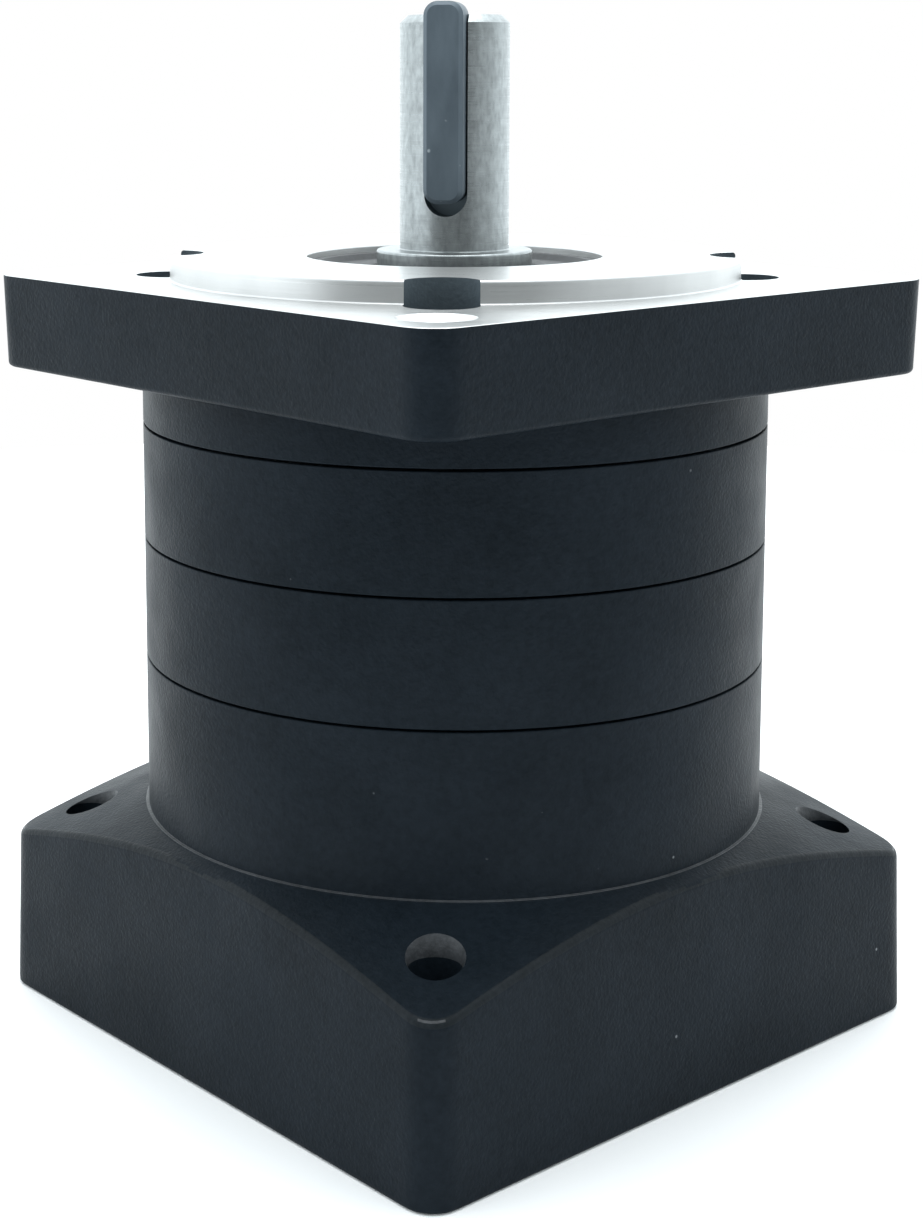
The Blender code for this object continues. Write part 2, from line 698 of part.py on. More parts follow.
def output_shaft():
    """Shaft and planet carrier in one forging, with three pillars that reach down to the plate."""
    journal = FRONT_BEARING[0] - GAP
    carrier_top = REAR_BEARING[3] + REAR_BEARING[2]
    face = OUTPUT_STAGE["carrier_face"]
    shoulder = 27 * MM
    profile = [
        (0, face),
        (shoulder, face),
        (shoulder, REAR_BEARING[3] - GAP),
        (CARRIER_RADIUS, REAR_BEARING[3] - GAP),
        (CARRIER_RADIUS, carrier_top),
        (journal + 2 * MM, carrier_top),
        (journal + 2 * MM, FRONT_BEARING[3] - GAP),
        (journal, FRONT_BEARING[3] - GAP),
        (journal, OUTPUT_SEAL[2] - 1 * MM),
        (COLLAR_RADIUS, OUTPUT_SEAL[2] - 1 * MM),
        (COLLAR_RADIUS, COLLAR_TOP - 0.4 * MM),
        (COLLAR_RADIUS - 0.4 * MM, COLLAR_TOP),
        (SHAFT_RADIUS, COLLAR_TOP),
        (SHAFT_RADIUS, SHAFT_TOP - SHAFT_CHAMFER),
        (SHAFT_RADIUS - SHAFT_CHAMFER, SHAFT_TOP),
        (2.6 * MM, SHAFT_TOP),
        (2.1 * MM, SHAFT_TOP - 0.5 * MM),
        (2.1 * MM, SHAFT_TOP - 12 * MM),
        (0, SHAFT_TOP - 13 * MM),
    ]
    shaft = turned("output_shaft", profile, MEDIUM, GROUND)
    pillars = bmesh.new()
    add_pillars(pillars, OUTPUT_STAGE["plate"][1] + GAP, face + 2 * MM)
    boolean(shaft, add_object("output_pillars", finish_mesh("output_pillars", pillars)), "UNION")
    cut(shaft, "output_carrier_holes", pin_holes(OUTPUT_STAGE))

    def slot(shape):
        bottom = KEY_TOP - KEY_LENGTH - KEY_SLOT_EXTRA
        add_key_shape(shape, KEY_WIDTH + 2 * GAP, bottom, SHAFT_TOP + 10 * MM, KEY_FLOOR - GAP, 10 * MM)

    cut(shaft, "key_slot", slot)


def output_key():
    made = bmesh.new()
    add_key_shape(made, KEY_WIDTH, KEY_TOP - KEY_LENGTH, KEY_TOP, KEY_FLOOR, KEY_HEIGHT)
    add_object("output_key", finish_mesh("output_key", made), KEY_STEEL)


# Input side

def input_carrier():
    face, top = INPUT_STAGE["carrier_face"], INPUT_CARRIER_TOP
    body = turned("input_carrier", tube(SUN_SHANK + GAP, CARRIER_RADIUS, face, top), COARSE, GEAR_STEEL)
    pillars = bmesh.new()
    add_pillars(pillars, INPUT_STAGE["plate"][1] + GAP, face + 1 * MM)
    boolean(body, add_object("input_pillars", finish_mesh("input_pillars", pillars)), "UNION")
    cut(body, "input_carrier_holes", pin_holes({**INPUT_STAGE, "pin_top": top + 1 * MM}))


def sun_gears():
    neck = 7.0 * MM
    output_bottom, output_top = OUTPUT_STAGE["gear"]
    sun_gear("output_sun_gear", output_bottom - 1.0 * MM, output_top - 0.3 * MM, [
        (0, INPUT_STAGE["carrier_face"] + GAP),
        (SUN_SHANK, INPUT_STAGE["carrier_face"] + GAP),
        (SUN_SHANK, INPUT_CARRIER_TOP + GAP),
        (neck * 0.8, INPUT_CARRIER_TOP + GAP),
        (neck * 0.8, output_bottom),
        (0, output_bottom),
    ])
    input_bottom, input_top = INPUT_STAGE["gear"]
    sun_gear("input_sun_gear", input_bottom - 1.0 * MM, input_top - 0.3 * MM, [
        (0, 37.3 * MM),
        (SUN_SHANK, 37.3 * MM),
        (SUN_SHANK, input_bottom),
        (0, input_bottom),
    ])


def input_hub():
    journal = INPUT_BEARING[0] - GAP
    seal_journal = INPUT_SEAL[0] - GAP
    shoulder = INPUT_BEARING[3] - GAP
    groove = (45.5 * MM, 46.5 * MM)
    bore_top = 36.8 * MM
    profile = [
        (HUB_BORE, HUB_BOTTOM),
        (HUB_RADIUS, HUB_BOTTOM),
        (HUB_RADIUS, CAVITY_TOP - 0.6 * MM),
        (seal_journal, CAVITY_TOP - 0.6 * MM),
        (seal_journal, shoulder),
        (journal, shoulder),
        (journal, groove[0]),
        (journal - 0.6 * MM, groove[0]),
        (journal - 0.6 * MM, groove[1]),
        (journal, groove[1]),
        (journal, HUB_TOP),
        (SUN_SHANK + GAP, HUB_TOP),
        (SUN_SHANK + GAP, bore_top),
        (HUB_BORE, bore_top),
    ]
    hub = turned("input_hub", profile, COARSE, GEAR_STEEL)

    def slits(shape):
        add_box(shape, (-2 * HUB_RADIUS, -SLIT_WIDTH / 2, 0),
                (2 * HUB_RADIUS, SLIT_WIDTH / 2, COLLAR_CLAMP_TOP + 2 * MM))

    cut(hub, "hub_slits", slits)
    open_ring("reducing_sleeve", MOTOR_SHAFT_RADIUS + 0.15 * MM, HUB_BORE - GAP, HUB_BOTTOM + 0.6 * MM,
              CAVITY_TOP, SLIT_WIDTH, 0, COARSE, GEAR_STEEL)
    open_ring("hub_circlip", journal - 0.3 * MM, journal + 1.8 * MM, groove[0] + 0.25 * MM,
              groove[1] - 0.25 * MM, 4 * MM, math.pi / 2, COARSE, BEARING_STEEL)
    open_ring("adapter_circlip", 19.0 * MM, INPUT_BEARING[1] + 1 * MM, 45.7 * MM, 46.6 * MM, 7 * MM,
              math.pi, COARSE, BEARING_STEEL)


def clamp_collar():
    """Slit collar that squeezes the hub onto the motor shaft, and its tangential screw."""
    collar = open_ring("clamp_collar", HUB_RADIUS + GAP, COLLAR_CLAMP_RADIUS, COLLAR_CLAMP_BOTTOM,
                       COLLAR_CLAMP_TOP, 2 * MM, 0, COARSE, BLACK_SCREW)
    shank_start, head_start, shank_radius, head_radius = -9 * MM, 5.8 * MM, 2.5 * MM, 4.25 * MM
    place = Matrix.Translation((CLAMP_SCREW_OFFSET, shank_start, CLAMP_SCREW_HEIGHT))
    place = place @ Matrix.Rotation(math.radians(-90), 4, "X")
    length = head_start - shank_start

    def screw_space(shape):
        profile = [(0, -20 * MM), (shank_radius + GAP, -20 * MM), (shank_radius + GAP, length - GAP),
                   (head_radius + GAP, length - GAP), (head_radius + GAP, length + 20 * MM),
                   (0, length + 20 * MM)]
        add_turned(shape, profile, SMALL, place)

    cut(collar, "clamp_screw_space", screw_space)
    socket_screw("clamp_screw", place, shank_radius, length, head_radius, 5 * MM, 4 * MM, BLACK_SCREW)


def main():
    clear_scene()
    output_flange_housing()
    ring_gears()
    motor_adapter()
    tie_screws()
    access_plug()
    oil_seal("output_oil_seal", OUTPUT_SEAL, 1)
    oil_seal("input_oil_seal", INPUT_SEAL, -1)
    bearing("front", FRONT_BEARING)
    bearing("rear", REAR_BEARING)
    bearing("input", INPUT_BEARING)
    output_shaft()
    output_key()
    carrier_plate("output", OUTPUT_STAGE)
    planet_set("output", OUTPUT_STAGE)
    input_carrier()
    carrier_plate("input", INPUT_STAGE)
    planet_set("input", INPUT_STAGE)
    sun_gears()
    input_hub()
    clamp_collar()


main()
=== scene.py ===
"""Looks of the inline gear reducer: finely shaped casings, shaft, key, seals, screws and gears around the CAD."""
import math

import bmesh
import bpy
from mathutils import Matrix, Vector


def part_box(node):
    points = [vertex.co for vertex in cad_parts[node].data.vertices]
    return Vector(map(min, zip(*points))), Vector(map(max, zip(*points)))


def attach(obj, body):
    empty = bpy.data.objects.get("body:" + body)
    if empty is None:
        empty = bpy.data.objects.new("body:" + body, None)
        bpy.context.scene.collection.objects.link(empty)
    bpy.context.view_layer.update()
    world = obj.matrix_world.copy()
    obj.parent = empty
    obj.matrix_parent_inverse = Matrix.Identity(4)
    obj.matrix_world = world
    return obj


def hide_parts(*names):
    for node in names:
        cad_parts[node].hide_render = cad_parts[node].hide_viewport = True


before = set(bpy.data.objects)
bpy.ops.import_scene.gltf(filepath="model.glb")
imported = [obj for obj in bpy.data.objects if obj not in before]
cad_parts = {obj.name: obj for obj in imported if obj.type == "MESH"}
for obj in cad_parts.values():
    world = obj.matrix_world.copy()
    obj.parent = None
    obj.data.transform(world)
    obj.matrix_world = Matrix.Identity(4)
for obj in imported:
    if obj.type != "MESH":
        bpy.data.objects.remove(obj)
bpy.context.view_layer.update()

MM = 0.001

# Sizes read from the frame.
HOUSING_LOW, HOUSING_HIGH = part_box("output_flange_housing")
ADAPTER_LOW, ADAPTER_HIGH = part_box("motor_adapter")
SHAFT_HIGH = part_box("output_shaft")[1]
KEY_LOW, KEY_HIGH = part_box("output_key")
SEAL_LOW, SEAL_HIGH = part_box("output_oil_seal")
FLANGE_SIDE = HOUSING_HIGH.x - HOUSING_LOW.x
ADAPTER_SIDE = ADAPTER_HIGH.x - ADAPTER_LOW.x
PILOT_TOP = HOUSING_HIGH.z
SHAFT_TOP = SHAFT_HIGH.z
KEY_TOP = KEY_HIGH.z
KEY_LENGTH = KEY_HIGH.z - KEY_LOW.z

# The rest of the design's sizes: the CAD's own, and finer ones that only the looks have.
GAP = 0.3 * MM
CUT_PAST = 5 * MM               # how far a cutter runs past the surface it opens
SMALL_CUT_PAST = 1 * MM
HOLE_SEGMENTS = 40
BODY_RADIUS = 40.2 * MM
SEAM_1, SEAM_2, SEAM_3 = 48.3 * MM, 63.7 * MM, 78.5 * MM
SEAM_EDGE = 0.14 * MM
ADAPTER_CORNER = 4.0 * MM
ADAPTER_DRAFT = 0.0225
CONE_TOP = 28.2 * MM
CONE_SLOPE = 0.355
CONE_EDGE = 1.3 * MM
BEAD_WIDTH, BEAD_RISE = 0.42 * MM, 0.06 * MM    # paint bead where the barrel meets the cone
FLANGE_CORNER = 4.5 * MM
FLANGE_BOTTOM = 84.7 * MM
FLANGE_TOP = 96.7 * MM
FLANGE_DRAFT = 0.3 * MM
PILOT_RADIUS = 36.5 * MM
SPIGOT_INNER, SPIGOT_OUTER, SPIGOT_HEIGHT = 31.9 * MM, 32.9 * MM, 2.0 * MM
BOLT_CIRCLE = 49.2 * MM
FLANGE_THREAD, FLANGE_THREAD_MOUTH, FLANGE_THREAD_PITCH = 3.35 * MM, 4.5 * MM, 1.25 * MM
MOTOR_HOLE, MOTOR_COUNTERSINK = 3.05 * MM, 4.1 * MM
TIE_CIRCLE = 37.0 * MM
TIE_HOLE, TIE_POCKET = 2.3 * MM, 4.4 * MM
TIE_HEAD_BOTTOM = 89.3 * MM
TIE_END = 34.3 * MM
TIE_HOLE_FLOOR = TIE_END - 0.5 * MM
SHAFT_RADIUS = 7.0 * MM
COLLAR_RADIUS = 10.0 * MM
COLLAR_TOP = 100.2 * MM
KEY_WIDTH, KEY_HEIGHT, KEY_FLOOR = 5.0 * MM, 5.0 * MM, 4.0 * MM
KEY_ANGLE = math.radians(-52.6)
KEY_CHAMFER, KEY_CORNER = 0.5 * MM, 1.8 * MM
MOTOR_RECESS_RADIUS, MOTOR_RECESS_DEPTH = 36.6 * MM, 3.0 * MM
CAVITY_RADIUS, CAVITY_TOP = 28.0 * MM, 27.8 * MM
WEB_TOP = 47.2 * MM
MODULE = 1.25 * MM
DEDENDUM = 1.25 * MODULE
PRESSURE_ANGLE = math.radians(20)
FLANK_RELIEF = 0.3 * MM         # tooth thickness taken off each gear
PLANET_TEETH, RING_TEETH = 18, 48
PLANET_CIRCLE = 18.75 * MM
PLANET_START = math.radians(90)
PLANET_BORE = 5.0 * MM

CORNERS = [math.radians(45 + 90 * quarter) for quarter in range(4)]


# Shape helpers

def cleaned(name, work):
    bmesh.ops.recalc_face_normals(work, faces=work.faces)
    mesh = bpy.data.meshes.new(name)
    work.to_mesh(mesh)
    work.free()
    return mesh


def new_object(name, mesh):
    made = bpy.data.objects.new(name, mesh)
    bpy.context.scene.collection.objects.link(made)
    return made


def rounded(points, radii, steps=4):
    """Closed outline with each corner rounded by its own radius; a radius of 0 stays a corner."""
    made = []
    count = len(points)
    for index, (point, radius) in enumerate(zip(points, radii)):
        here = Vector(point)
        if radius == 0:
            made.append(tuple(here))
            continue
        back = (Vector(points[index - 1]) - here).normalized()
        ahead = (Vector(points[(index + 1) % count]) - here).normalized()
        half = math.acos(max(-1.0, min(1.0, back.dot(ahead)))) / 2
        reach = radius / math.tan(half)
        centre = here + (back + ahead).normalized() * (radius / math.sin(half))
        first, last = here + back * reach - centre, here + ahead * reach - centre
        sweep = first.angle_signed(last)
        for step in range(steps + 1):
            turned_by = Matrix.Rotation(-sweep * step / steps, 2)
            made.append(tuple(centre + turned_by @ first))
    return made


def rounded_pairs(corners, steps=4):
    """rounded() for corners given as ((radius, height), rounding)."""
    return rounded([point for point, rounding in corners], [rounding for point, rounding in corners], steps)


def polar_solid(name, angles, profile_at):
    """Solid of revolution whose closed (radius, height) outline may change with the angle."""
    work = bmesh.new()
    rows = []
    for angle in angles:
        cosine, sine = math.cos(angle), math.sin(angle)
        rows.append([work.verts.new((r * cosine, r * sine, z)) for r, z in profile_at(angle)])
    for row, after in zip(rows, rows[1:] + rows[:1]):
        for index in range(len(row)):
            follow = (index + 1) % len(row)
            work.faces.new((row[index], after[index], after[follow], row[follow]))
    return new_object(name, cleaned(name, work))


def even_angles(count):
    return [2 * math.pi * (step + 0.5) / count for step in range(count)]


def add_turned(work, profile, segments, place=Matrix()):
    """Add a turned solid to a bmesh. A radius of 0 makes a pole on the axis."""
    rows = []
    for radius, height in profile:
        if radius == 0:
            rows.append([work.verts.new(place @ Vector((0, 0, height)))])
        else:
            circle = [(radius * math.cos(angle), radius * math.sin(angle)) for angle in even_angles(segments)]
            rows.append([work.verts.new(place @ Vector((x, y, height))) for x, y in circle])
    pairs = list(zip(rows, rows[1:]))
    if len(rows[0]) > 1:
        pairs.append((rows[-1], rows[0]))
    for lower, upper in pairs:
        for step in range(segments):
            after = (step + 1) % segments
            corners = [lower[step % len(lower)], lower[after % len(lower)],
                       upper[after % len(upper)], upper[step % len(upper)]]
            work.faces.new(list(dict.fromkeys(corners)))


def turned(name, profile, segments, place=Matrix()):
    work = bmesh.new()
    add_turned(work, profile, segments, place)
    return new_object(name, cleaned(name, work))


def add_loft(work, layers, place=Matrix()):
    """Add a closed solid through outlines with equal point counts, each layer (outline, height)."""
    rows = [[work.verts.new(place @ Vector((x, y, height))) for x, y in outline] for outline, height in layers]
    for lower, upper in zip(rows, rows[1:]):
        for step in range(len(lower)):
            after = (step + 1) % len(lower)
            work.faces.new((lower[step], lower[after], upper[after], upper[step]))
    work.faces.new(list(reversed(rows[0])))
    work.faces.new(rows[-1])


def around(radius, angle, height=0.0):
    return Matrix.Translation((radius * math.cos(angle), radius * math.sin(angle), height))


def rod(radius, bottom, top):
    return [(0, bottom), (radius, bottom), (radius, top), (0, top)]


def boolean(target, fill, operation="DIFFERENCE"):
    """Combine target with the solids that fill adds, and keep the result as target's own mesh."""
    work = bmesh.new()
    fill(work)
    cutter = new_object(target.name + "_tool", cleaned(target.name + "_tool", work))
    step = target.modifiers.new("cut", "BOOLEAN")
    step.operation = operation
    step.solver = "EXACT"
    step.object = cutter
    bpy.context.view_layer.update()
    evaluated = target.evaluated_get(bpy.context.evaluated_depsgraph_get())
    result = bpy.data.meshes.new_from_object(evaluated)
    target.modifiers.clear()
    target.data = result
    bpy.data.objects.remove(cutter)


def shade(target, angle=35):
    target.data.shade_smooth()
    target.data.set_sharp_from_angle(angle=math.radians(angle))
    weighted = target.modifiers.new("even_normals", "WEIGHTED_NORMAL")
    weighted.keep_sharp = True
    weighted.weight = 90


def dress(target, materials, pick=None):
    """Give target its materials; pick(centre, normal) returns the slot of a face."""
    target.data.materials.clear()
    for made in materials:
        target.data.materials.append(made)
    if pick:
        for face in target.data.polygons:
            face.material_index = pick(face.center, face.normal)


def stand_for(piece, body, *nodes):
    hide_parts(*nodes)
    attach(piece, body)


# Material helpers

def new_material(name, colour, roughness, metallic=0.0, specular=0.5):
    made = bpy.data.materials.new(name)
    made.use_nodes = True
    shader = made.node_tree.nodes["Principled BSDF"]
    shader.inputs["Base Color"].default_value = (*colour, 1.0)
    shader.inputs["Roughness"].default_value = roughness
    shader.inputs["Metallic"].default_value = metallic
    shader.inputs["Specular IOR Level"].default_value = specular
    made.diffuse_color = (*colour, 1.0)
    return made, made.node_tree, shader


def node(tree, kind, **values):
    made = tree.nodes.new(kind)
    for key, value in values.items():
        setattr(made, key, value)
    return made


def place_vector(tree, scale):
    """Object coordinates in metres, stretched by scale (x, y, z)."""
    source = node(tree, "ShaderNodeTexCoord")
    mapping = node(tree, "ShaderNodeMapping")
    mapping.inputs["Scale"].default_value = scale
    tree.links.new(source.outputs["Object"], mapping.inputs["Vector"])
    return mapping.outputs["Vector"]


def polar_vector(tree, radial, angular, axial):
    """(radius, angle, height) of a point, each times its own scale: grain that follows turning."""
    source = node(tree, "ShaderNodeTexCoord")
    split = node(tree, "ShaderNodeSeparateXYZ")
    tree.links.new(source.outputs["Object"], split.inputs[0])
    flat = node(tree, "ShaderNodeCombineXYZ")
    tree.links.new(split.outputs["X"], flat.inputs["X"])
    tree.links.new(split.outputs["Y"], flat.inputs["Y"])
    length = node(tree, "ShaderNodeVectorMath", operation="LENGTH")
    tree.links.new(flat.outputs[0], length.inputs[0])
    angle = node(tree, "ShaderNodeMath", operation="ARCTAN2")
    tree.links.new(split.outputs["Y"], angle.inputs[0])
    tree.links.new(split.outputs["X"], angle.inputs[1])
    joined = node(tree, "ShaderNodeCombineXYZ")
    for index, (output, scale) in enumerate(((length.outputs["Value"], radial), (angle.outputs[0], angular),
                                             (split.outputs["Z"], axial))):
        scaled = node(tree, "ShaderNodeMath", operation="MULTIPLY")
        scaled.inputs[1].default_value = scale
        tree.links.new(output, scaled.inputs[0])
        tree.links.new(scaled.outputs[0], joined.inputs[index])
    return joined.outputs[0]


def noise(tree, vector, scale, detail=3.0, roughness=0.55):
    made = node(tree, "ShaderNodeTexNoise")
    made.inputs["Scale"].default_value = scale
    made.inputs["Detail"].default_value = detail
    made.inputs["Roughness"].default_value = roughness
    tree.links.new(vector, made.inputs["Vector"])
    return made.outputs["Fac"]


def ramp(tree, value, stops):
    """Colour ramp; each stop is (position, colour)."""
    made = node(tree, "ShaderNodeValToRGB")
    band = made.color_ramp
    while len(band.elements) < len(stops):
        band.elements.new(0.5)
    for element, (position, colour) in zip(band.elements, stops):
        element.position = position
        element.color = (*colour, 1.0)
    tree.links.new(value, made.inputs["Fac"])
    return made.outputs["Color"]


def spread(tree, value, low, high, from_low=0.3, from_high=0.7):
    made = node(tree, "ShaderNodeMapRange")
    made.inputs["From Min"].default_value = from_low
    made.inputs["From Max"].default_value = from_high
    made.inputs["To Min"].default_value = low
    made.inputs["To Max"].default_value = high
    tree.links.new(value, made.inputs["Value"])
    return made.outputs["Result"]


def bump(tree, shader, height, strength, distance, base=None):
    made = node(tree, "ShaderNodeBump")
    made.inputs["Strength"].default_value = strength
    made.inputs["Distance"].default_value = distance
    tree.links.new(height, made.inputs["Height"])
    if base is not None:
        tree.links.new(base, made.inputs["Normal"])
    tree.links.new(made.outputs["Normal"], shader.inputs["Normal"])
    return made.outputs["Normal"]


def flecked(tree, place, colour, fleck, cells_scale, reach, patches, kept):
    """Colour with small flecks of another one: round ones in cells, kept only where a slow noise is high."""
    cells = node(tree, "ShaderNodeTexVoronoi", feature="F1")
    cells.inputs["Scale"].default_value = cells_scale
    tree.links.new(place, cells.inputs["Vector"])
    spot = spread(tree, cells.outputs["Distance"], 1.0, 0.0, *reach)
    keep = spread(tree, noise(tree, place, *patches), 0.0, 1.0, *kept)
    both = node(tree, "ShaderNodeMath", operation="MULTIPLY")
    tree.links.new(spot, both.inputs[0])
    tree.links.new(keep, both.inputs[1])
    mixed = node(tree, "ShaderNodeMix", data_type="RGBA")
    mixed.inputs["B"].default_value = (*fleck, 1)
    tree.links.new(both.outputs[0], mixed.inputs["Factor"])
    tree.links.new(colour, mixed.inputs["A"])
    return mixed.outputs["Result"]


def satin_paint(name, dark, light, roughness, specular=0.5, specks=True):
    """Satin sprayed paint: slow tone drift, fine orange peel, and a few dust specks."""
    made, tree, shader = new_material(name, dark, roughness, 0.0, specular)
    place = place_vector(tree, (1, 1, 1))
    drift = node(tree, "ShaderNodeMath", operation="ADD")
    tree.links.new(noise(tree, place, 55, 4, 0.6), drift.inputs[0])
    tree.links.new(noise(tree, place, 1100, 4, 0.65), drift.inputs[1])
    half = spread(tree, drift.outputs[0], 0.0, 1.0, 0.72, 1.28)
    colour = ramp(tree, half, ((0.0, dark), (1.0, light)))
    if specks:
        colour = flecked(tree, place, colour, (0.16, 0.17, 0.18), 260, (0.035, 0.06), (190, 1), (0.62, 0.68))
    tree.links.new(colour, shader.inputs["Base Color"])
    patches = noise(tree, place, 130, 3)
    tree.links.new(spread(tree, patches, roughness - 0.04, roughness + 0.06), shader.inputs["Roughness"])
    peel = noise(tree, place, 2300, 2, 0.5)
    soft = noise(tree, place, 420, 2, 0.5)
    first = bump(tree, shader, peel, 0.70, 0.00010)
    bump(tree, shader, soft, 0.28, 0.00012, first)
    return made


def turned_metal(name, colour, roughness, lines, strength, blotch=90, depth=0.86):
    """Metal cut on a lathe: fine rings that follow the radius and the height."""
    made, tree, shader = new_material(name, colour, roughness, 1.0)
    place = polar_vector(tree, lines, 0.35, lines)
    rings = noise(tree, place, 1.0, 4, 0.7)
    broad = noise(tree, place_vector(tree, (1, 1, 0.45)), blotch, 4)
    darker = tuple(channel * depth for channel in colour)
    tree.links.new(ramp(tree, broad, ((0.3, darker), (0.7, colour))), shader.inputs["Base Color"])
    tree.links.new(spread(tree, rings, roughness - 0.07, roughness + 0.09), shader.inputs["Roughness"])
    bump(tree, shader, rings, strength, 0.00004)
    return made


def plain_metal(name, colour, roughness, grain=900, strength=0.15):
    """Hardened or oxidised steel with a faint irregular grain and stain."""
    made, tree, shader = new_material(name, colour, roughness, 1.0)
    place = place_vector(tree, (1, 1, 1))
    stain = noise(tree, place, 160, 4, 0.6)
    darker = tuple(channel * 0.72 for channel in colour)
    tree.links.new(ramp(tree, stain, ((0.3, darker), (0.7, colour))), shader.inputs["Base Color"])
    tree.links.new(spread(tree, stain, roughness - 0.05, roughness + 0.08), shader.inputs["Roughness"])
    bump(tree, shader, noise(tree, place, grain, 3), strength, 0.00005)
    return made


def blued_key_steel():
    """Slate-coloured drawn key bar with bright nicks."""
    made, tree, shader = new_material("key_slate_steel", (0.12, 0.15, 0.18), 0.5, 0.35, 0.5)
    place = place_vector(tree, (1, 1, 1))
    tone = noise(tree, place_vector(tree, (1, 1, 0.35)), 420, 4, 0.6)
    colour = ramp(tree, tone, ((0.25, (0.068, 0.090, 0.110)), (0.75, (0.105, 0.135, 0.160))))
    nicked = flecked(tree, place, colour, (0.55, 0.60, 0.63), 620, (0.10, 0.2), (330, 2), (0.60, 0.66))
    tree.links.new(nicked, shader.inputs["Base Color"])
    tree.links.new(spread(tree, tone, 0.42, 0.58), shader.inputs["Roughness"])
    bump(tree, shader, noise(tree, place, 1500, 3), 0.25, 0.00005)
    return made


def matt_rubber(name, colour):
    """Dull rubber with a fine mottle."""
    made, tree, shader = new_material(name, colour, 0.6, 0.0, 0.4)
    place = place_vector(tree, (1, 1, 1))
    mottle = noise(tree, place, 1200, 4, 0.7)
    lighter = tuple(channel * 1.9 for channel in colour)
    tree.links.new(ramp(tree, mottle, ((0.35, colour), (0.72, lighter))), shader.inputs["Base Color"])
    tree.links.new(spread(tree, mottle, 0.5, 0.72), shader.inputs["Roughness"])
    bump(tree, shader, mottle, 0.35, 0.00008)
    return made


PAINT = satin_paint("black_satin_paint", (0.0048, 0.0080, 0.0112), (0.0102, 0.0150, 0.0205), 0.42, 0.060)
# Painted sheen: a lighter copy of the black paint for the rounding between the adapter's cone and its sides.
EDGE_SHEEN_PAINT = satin_paint("edge_painted_sheen", (0.0080, 0.0108, 0.0128), (0.0150, 0.0190, 0.0225), 0.40, 0.08,
                         specks=False)
# Painted highlight: a lighter, glossier paint for the barrel bead, the motor holes' walls and one row of the
# corner rounding.
HIGHLIGHT_PAINT = satin_paint("painted_highlight_paint", (0.018, 0.020, 0.023), (0.065, 0.070, 0.076), 0.42, 0.3, specks=False)
# Painted reflection: a lighter copy of the black paint for the tie pockets' walls and floors.
POCKET_REFLECTION_PAINT = satin_paint("pocket_painted_reflection", (0.066, 0.084, 0.098), (0.094, 0.118, 0.134), 0.5, 0.10, specks=False)
ALUMINIUM = turned_metal("machined_aluminium", (0.65, 0.655, 0.65), 0.33, 9000, 0.22)
GROUND = turned_metal("ground_steel", (0.37, 0.395, 0.40), 0.30, 5200, 0.16, 1500, 0.66)
# Painted shade: a darker metal for the keyseat's floor and walls, in the slot under the key.
KEYSEAT_SHADE = plain_metal("keyseat_painted_shade", (0.22, 0.27, 0.30), 0.5)
GEAR_STEEL = plain_metal("gear_steel", (0.42, 0.43, 0.45), 0.34)
BEARING_STEEL = turned_metal("bearing_steel", (0.66, 0.67, 0.69), 0.20, 7000, 0.06)
BLACK_OXIDE = plain_metal("black_oxide_steel", (0.045, 0.045, 0.050), 0.42, 1400, 0.2)
BRONZE = plain_metal("sintered_bronze", (0.46, 0.31, 0.16), 0.45, 2200, 0.35)
KEY_STEEL = blued_key_steel()
SEAL_RUBBER = matt_rubber("seal_rubber", (0.040, 0.042, 0.044))
PLUG_PLASTIC = satin_paint("plug_plastic", (0.012, 0.012, 0.013), (0.018, 0.018, 0.020), 0.5, specks=False)


# Casings

def square_reach(angle, half, corner):
    """Distance from the axis to a rounded square's outline in one direction."""
    folded = abs((angle + math.pi / 4) % (math.pi / 2) - math.pi / 4)
    flat = half / math.cos(folded)
    if half * math.tan(folded) <= half - corner:
        return flat
    diagonal = math.sqrt(2) * (half - corner)
    off = folded - math.pi / 4
    return diagonal * math.cos(off) + math.sqrt(corner ** 2 - (diagonal * math.sin(off)) ** 2)


def square_angles(flat_steps=40, corner_steps=16, corner_span=math.radians(6)):
    """Angles around a rounded square, closer together at its corners."""
    angles = []
    for corner in CORNERS:
        for step in range(corner_steps):
            angles.append(corner - corner_span + 2 * corner_span * step / corner_steps)
        for step in range(flat_steps):
            start, end = corner + corner_span, corner + math.pi / 2 - corner_span
            angles.append(start + (end - start) * step / flat_steps)
    return angles


def tie_screw_space(work):
    """The tie screws' holes, with their head pockets open to the pilot's face."""
    pocket_floor, end = TIE_HEAD_BOTTOM - GAP, PILOT_TOP + CUT_PAST
    profile = [(0, TIE_HOLE_FLOOR), (TIE_HOLE, TIE_HOLE_FLOOR), (TIE_HOLE, pocket_floor),
               (TIE_POCKET, pocket_floor), (TIE_POCKET, end), (0, end)]
    for angle in CORNERS:
        add_turned(work, profile, HOLE_SEGMENTS, around(TIE_CIRCLE, angle))


def thread_profile(radius, mouth, bottom, top, pitch):
    """A tapped hole: ring-shaped thread grooves under a chamfered mouth."""
    depth = 0.55 * pitch
    groove_start, groove_middle, groove_end = 0.15 * pitch, 0.55 * pitch, 0.95 * pitch
    start = top - (mouth - radius)
    points = [(0, bottom - SMALL_CUT_PAST), (radius, bottom - SMALL_CUT_PAST)]
    turns = int((start - bottom) / pitch)
    for turn in range(turns):
        base = bottom + turn * pitch
        points += [(radius, base + groove_start), (radius + depth, base + groove_middle),
                   (radius, base + groove_end)]
    points += [(radius, start), (mouth, top), (mouth, top + SMALL_CUT_PAST), (0, top + SMALL_CUT_PAST)]
    return points


def axis_distance(centre, circle):
    """Distance from a point to the nearest of the four corner axes on a circle."""
    return min(math.hypot(centre.x - circle * math.cos(a), centre.y - circle * math.sin(a)) for a in CORNERS)


